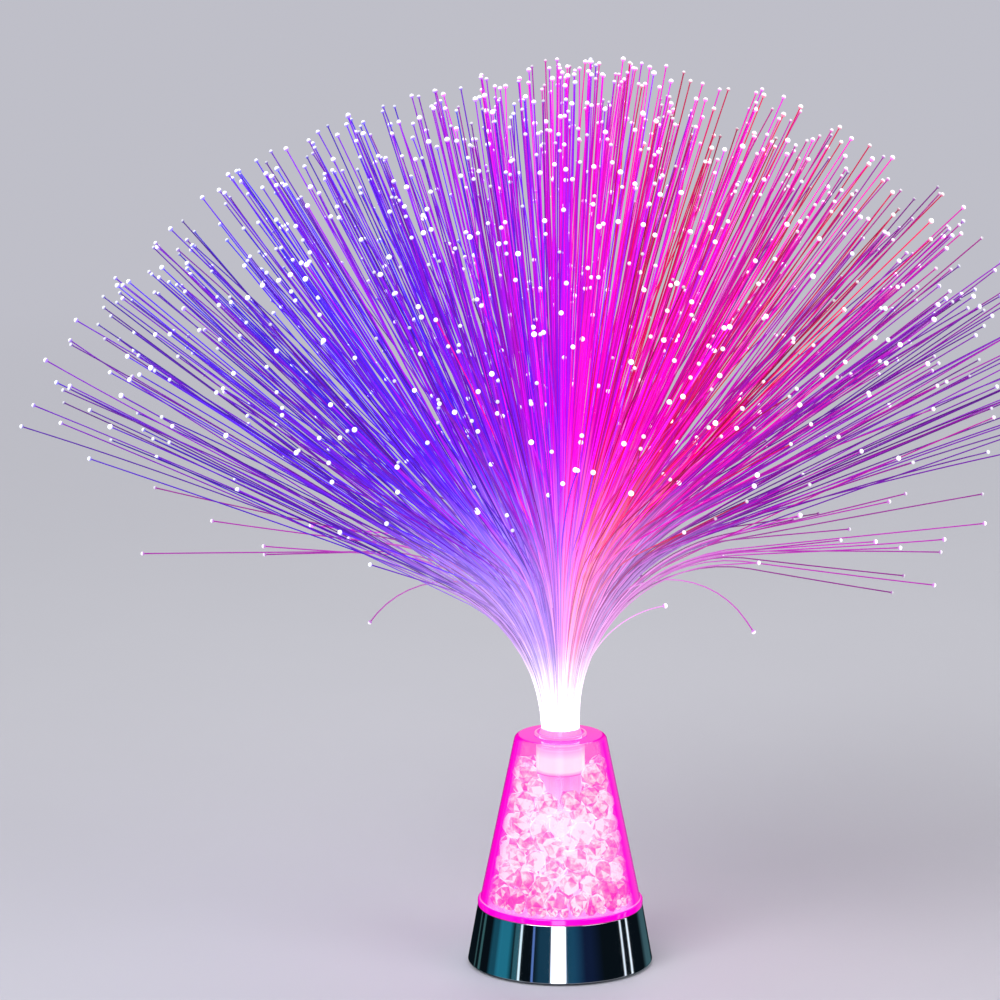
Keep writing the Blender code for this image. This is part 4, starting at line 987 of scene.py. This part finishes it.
def strand_mesh(name, lines, along, colours, level):
    """Tubes round some strands, with how far along each point is, and its strand's looks."""
    count, steps, _ = lines.shape
    ahead = np.gradient(lines, axis=1)
    ahead /= np.linalg.norm(ahead, axis=2, keepdims=True)
    turn = np.arctan2(lines[:, -1, 1], lines[:, -1, 0])
    side = np.stack([-np.sin(turn), np.cos(turn), np.zeros(count)], 1)[:, None, :]
    normal = np.cross(ahead, side)
    normal /= np.linalg.norm(normal, axis=2, keepdims=True)
    side = np.cross(normal, ahead)
    around = np.arange(STRAND_SIDES) * math.tau / STRAND_SIDES
    ring = normal[:, :, None, :] * np.cos(around)[None, None, :, None]
    ring = ring + side[:, :, None, :] * np.sin(around)[None, None, :, None]
    share = along / STRAND_LENGTH
    grown = np.clip(share / STRAND_GROWN_SHARE, 0.0, 1.0)
    radius = STRAND_ROOT_RADIUS + (STRAND_RADIUS - STRAND_ROOT_RADIUS) * grown
    points = lines[:, :, None, :] + ring * radius[:, :, None, None]
    k = np.arange(STRAND_SIDES)
    first = (np.arange(count * steps) * STRAND_SIDES).reshape(count, steps)[:, :-1, None]
    a, b = first + k, first + (k + 1) % STRAND_SIDES
    sides = np.stack([a, b, b + STRAND_SIDES, a + STRAND_SIDES], 3).reshape(-1, 4)
    low = (np.arange(count) * steps * STRAND_SIDES)[:, None]
    caps = np.concatenate([low + k[::-1], low + (steps - 1) * STRAND_SIDES + k])
    faces = [*sides.tolist(), *caps.tolist()]
    reach = np.repeat(share.ravel(), STRAND_SIDES)
    return glowing_mesh(name, points.reshape(-1, 3), faces, level, colours, along=reach)


def tip_mesh(name, lines, colours, level):
    """A small bright bead on the end of each strand, with how far each point looks outward."""
    ball = bmesh.new()
    bmesh.ops.create_icosphere(ball, subdivisions=TIP_DIVISIONS, radius=1.0)
    shape = np.array([v.co for v in ball.verts])
    faces = np.array([[v.index for v in f.verts] for f in ball.faces])
    ball.free()
    growth = TIP_GROWTH * np.clip(level - TIP_GROWTH_FROM, 0.0, 1.0)
    size = TIP_RADIUS * (TIP_LEAST_SHARE + growth)
    ends = lines[:, -1, :]
    ahead = ends - lines[:, -2, :]
    ahead /= np.linalg.norm(ahead, axis=1, keepdims=True)
    points = ends[:, None, :] + shape[None, :, :] * size[:, None, None]
    corners = faces[None, :, :] + (np.arange(len(ends)) * len(shape))[:, None, None]
    cap = (0.5 + 0.5 * (ahead @ shape.T)).ravel()
    faces = corners.reshape(-1, 3).tolist()
    return glowing_mesh(name, points.reshape(-1, 3), faces, level, colours, cap=cap)


def make_spray(strand_look, tip_look, plug_look):
    """The strands in sectors, their bright tips, and the potted plug at their root."""
    lines, along, colours, level = strand_lines()
    way = np.arctan2(lines[:, -1, 1], lines[:, -1, 0]) / math.tau + 0.5
    zone = np.minimum((way * ZONES).astype(int), ZONES - 1)
    for k in range(ZONES):
        mine = zone == k
        parts = (lines[mine], along[mine], colours[mine], level[mine])
        mesh = strand_mesh(f"strands_{k + 1}", *parts)
        add(f"strands_{k + 1}", mesh, strand_look, "spray", "strand", "fiber_spray")
        mesh = tip_mesh(f"tips_{k + 1}", lines[mine], colours[mine], level[mine])
        add(f"tips_{k + 1}", mesh, tip_look, "spray", "strand")
    upper, lower = RESIN_SHOULDERS
    profile = [
        (0.0, SLUG_TOP_Z + RESIN_RISE),
        (BUNDLE_RADIUS + RESIN_EDGE, SLUG_TOP_Z + RESIN_RISE),
        (BUNDLE_RADIUS + 2 * RESIN_EDGE, SLUG_TOP_Z + RESIN_RISE * upper),
        (SLUG_FLANGE_RADIUS, SLUG_TOP_Z + RESIN_RISE * lower),
        (SLUG_FLANGE_RADIUS, SLUG_TOP_Z - SLUG_FLANGE),
        (SLUG_RADIUS, SLUG_TOP_Z - SLUG_FLANGE),
        (SLUG_RADIUS, SPRAY_LOW.z),
        (0.0, SPRAY_LOW.z),
    ]
    mesh = turned("spray_plug", profile, PLUG_STEPS)
    add("spray_plug", mesh, plug_look, "spray", "strand", "fiber_spray")


def dress_nodes():
    """Materials for the nodes that are carried over as they are, by the start of their names."""
    black, metal, jacket = black_plastic(), steel(), cell_jacket()
    looks = {
        "bottom_cover": black,
        "battery_door": black,
        "switch_slider": black,
        "driver_chip": black,
        "resistor": black,
        "switch_body": metal,
        "battery_spring": metal,
        "contact": metal,
        "cover_screw": metal,
        "board_screw": metal,
        "battery_cell": jacket,
        "circuit_board": board_green(),
        "light_tube": lit_tube(),
        "led_red": small_colour("led_red", (0.9, 0.05, 0.05), 0.1),
        "led_green": small_colour("led_green", (0.05, 0.8, 0.1), 0.1),
        "led_blue": small_colour("led_blue", (0.05, 0.1, 0.95), 0.1),
        "wire_positive": small_colour("wire_red", (0.6, 0.02, 0.02)),
        "wire_switch": small_colour("wire_white", (0.8, 0.8, 0.78)),
        "wire_negative": small_colour("wire_black", (0.02, 0.02, 0.02)),
    }
    looks["shade_floor"] = looks["ferrule"] = clear_plastic()
    looks["rubber_foot"] = rubber()
    for name, node in NODES.items():
        for start, look in looks.items():
            if name.startswith(start):
                clothe(node, look)


def make_floor():
    """A pale floor that keeps the lamp's shadow and fades into the backdrop far away."""
    build = bmesh.new()
    bmesh.ops.create_circle(build, cap_ends=True, segments=FLOOR_SIDES, radius=FLOOR_RADIUS)
    floor = stage("floor", finished(build, "floor"))
    floor.visible_glossy = False
    look = Surface("floor", FLOOR_COLOUR, 0.7)
    dull = tuple(c * FLOOR_DULLEST for c in FLOOR_COLOUR)
    look.mottle(look.noise(9, 5), [(0.3, FLOOR_COLOUR), (0.7, dull)])
    lit = look.shader.outputs[0]
    glow = look.node("Emission", {"Color": (*BACKDROP, 1.0)}).outputs[0]
    far = look.blend(look.seen(), lit, glow)
    look.show(look.blend(look.rise(look.from_axis(), *FLOOR_FADE), lit, far))
    clothe(floor, look)


def make_world():
    """Soft white light from all round, which the camera and reflections see as the backdrop."""
    world = bpy.data.worlds.new("studio")
    bpy.context.scene.world = world
    world.use_nodes = True
    nodes = Nodes(world.node_tree)
    plain = nodes.tree.nodes["Background"]
    nodes.feed((*WHITE, 1.0), plain.inputs["Color"])
    nodes.feed(WORLD_STRENGTH, plain.inputs["Strength"])
    pale = nodes.node("Background", {"Color": (*BACKDROP, 1.0)})
    both = nodes.blend(nodes.seen(), plain.outputs[0], pale.outputs[0])
    nodes.show(both, "World Output")


def make_reflections():
    """A ring of studio flags and strips that only reflections see."""
    build = bmesh.new()
    low, high = RING_HEIGHTS
    radii = {"radius1": RING_RADIUS, "radius2": RING_RADIUS}
    bmesh.ops.create_cone(build, segments=RING_SIDES, depth=high - low, **radii)
    bmesh.ops.translate(build, verts=build.verts, vec=(0.0, 0.0, (low + high) / 2))
    ring = stage("reflections", finished(build, "reflections"))
    for kind in ("camera", "diffuse", "transmission", "volume_scatter", "shadow"):
        setattr(ring, "visible_" + kind, False)
    look = Surface("reflections", BLACK, 1.0)
    parts = look.node("SeparateXYZ", {"Vector": look.place()}).outputs
    away = look.math("ARCTAN2", parts[0], look.math("MULTIPLY", parts[1], -1.0))
    total = None
    for azimuth, half, fade, colour in STRIPS:
        apart = look.math("SUBTRACT", away, math.radians(azimuth))
        wrapped = look.math("ABSOLUTE", look.math("WRAP", apart, math.pi, -math.pi))
        edges = [math.radians(half * (1 + fade)), math.radians(half * (1 - fade))]
        strip = look.mix(look.rise(wrapped, *edges), BLACK, colour)
        total = strip if total is None else look.mix(1.0, total, strip, "ADD")
    total = look.mix(1.0, total, FLAG_COLOUR, "ADD")
    look.show(look.node("Emission", {"Color": total}).outputs[0])
    clothe(ring, look)


def add_lamp(name, azimuth, elevation, distance, size, power):
    """A soft area lamp that looks at the middle of the lamp's height."""
    data = bpy.data.lights.new(name, "AREA")
    data.shape = "DISK"
    data.size = size
    data.energy = power
    lamp = bpy.data.objects.new(name, data)
    bpy.context.scene.collection.objects.link(lamp)
    a, e = math.radians(azimuth), math.radians(elevation)
    back = Vector((math.sin(a) * math.cos(e), -math.cos(a) * math.cos(e), math.sin(e)))
    lamp.location = back * distance + Vector((0.0, 0.0, CAD_BOX[1].z / 2))
    lamp.rotation_euler = back.to_track_quat("Z", "Y").to_euler()


def make_camera():
    """The photograph's camera, placed so that the lamp's axis and foot lie at their pixels."""
    data = bpy.data.cameras.new("camera")
    data.sensor_width = SENSOR_WIDTH
    data.lens = SENSOR_WIDTH * CAMERA_DISTANCE / FRAME_WIDTH
    data.clip_end = CAMERA_REACH
    camera = bpy.data.objects.new("camera", data)
    bpy.context.scene.collection.objects.link(camera)
    bpy.context.scene.camera = camera
    e = CAMERA_ELEVATION
    back = Vector((0.0, -math.cos(e), math.sin(e)))
    pixel = FRAME_WIDTH / FRAME_PIXELS
    below = (FOOT_PIXEL_Y - FRAME_PIXELS / 2) * pixel
    # The foot lies below the line of sight, and further off than the point that is looked at
    rise = below / (math.cos(e) - below * math.sin(e) / CAMERA_DISTANCE)
    aside = (AXIS_PIXEL_X - FRAME_PIXELS / 2) * pixel
    target = Vector((-aside, 0.0, rise))
    camera.location = target + back * CAMERA_DISTANCE
    camera.rotation_euler = back.to_track_quat("Z", "Y").to_euler()


bpy.context.scene.view_settings.view_transform = "Standard"
make_camera()
make_world()
make_floor()
make_reflections()
for lamp in LAMPS:
    add_lamp(*lamp)
make_base(chrome())
make_shade(clear_pink())
make_stones(cut_stone())
make_spray(strand_glow(), tip_glow(), plug_resin())
dress_nodes()
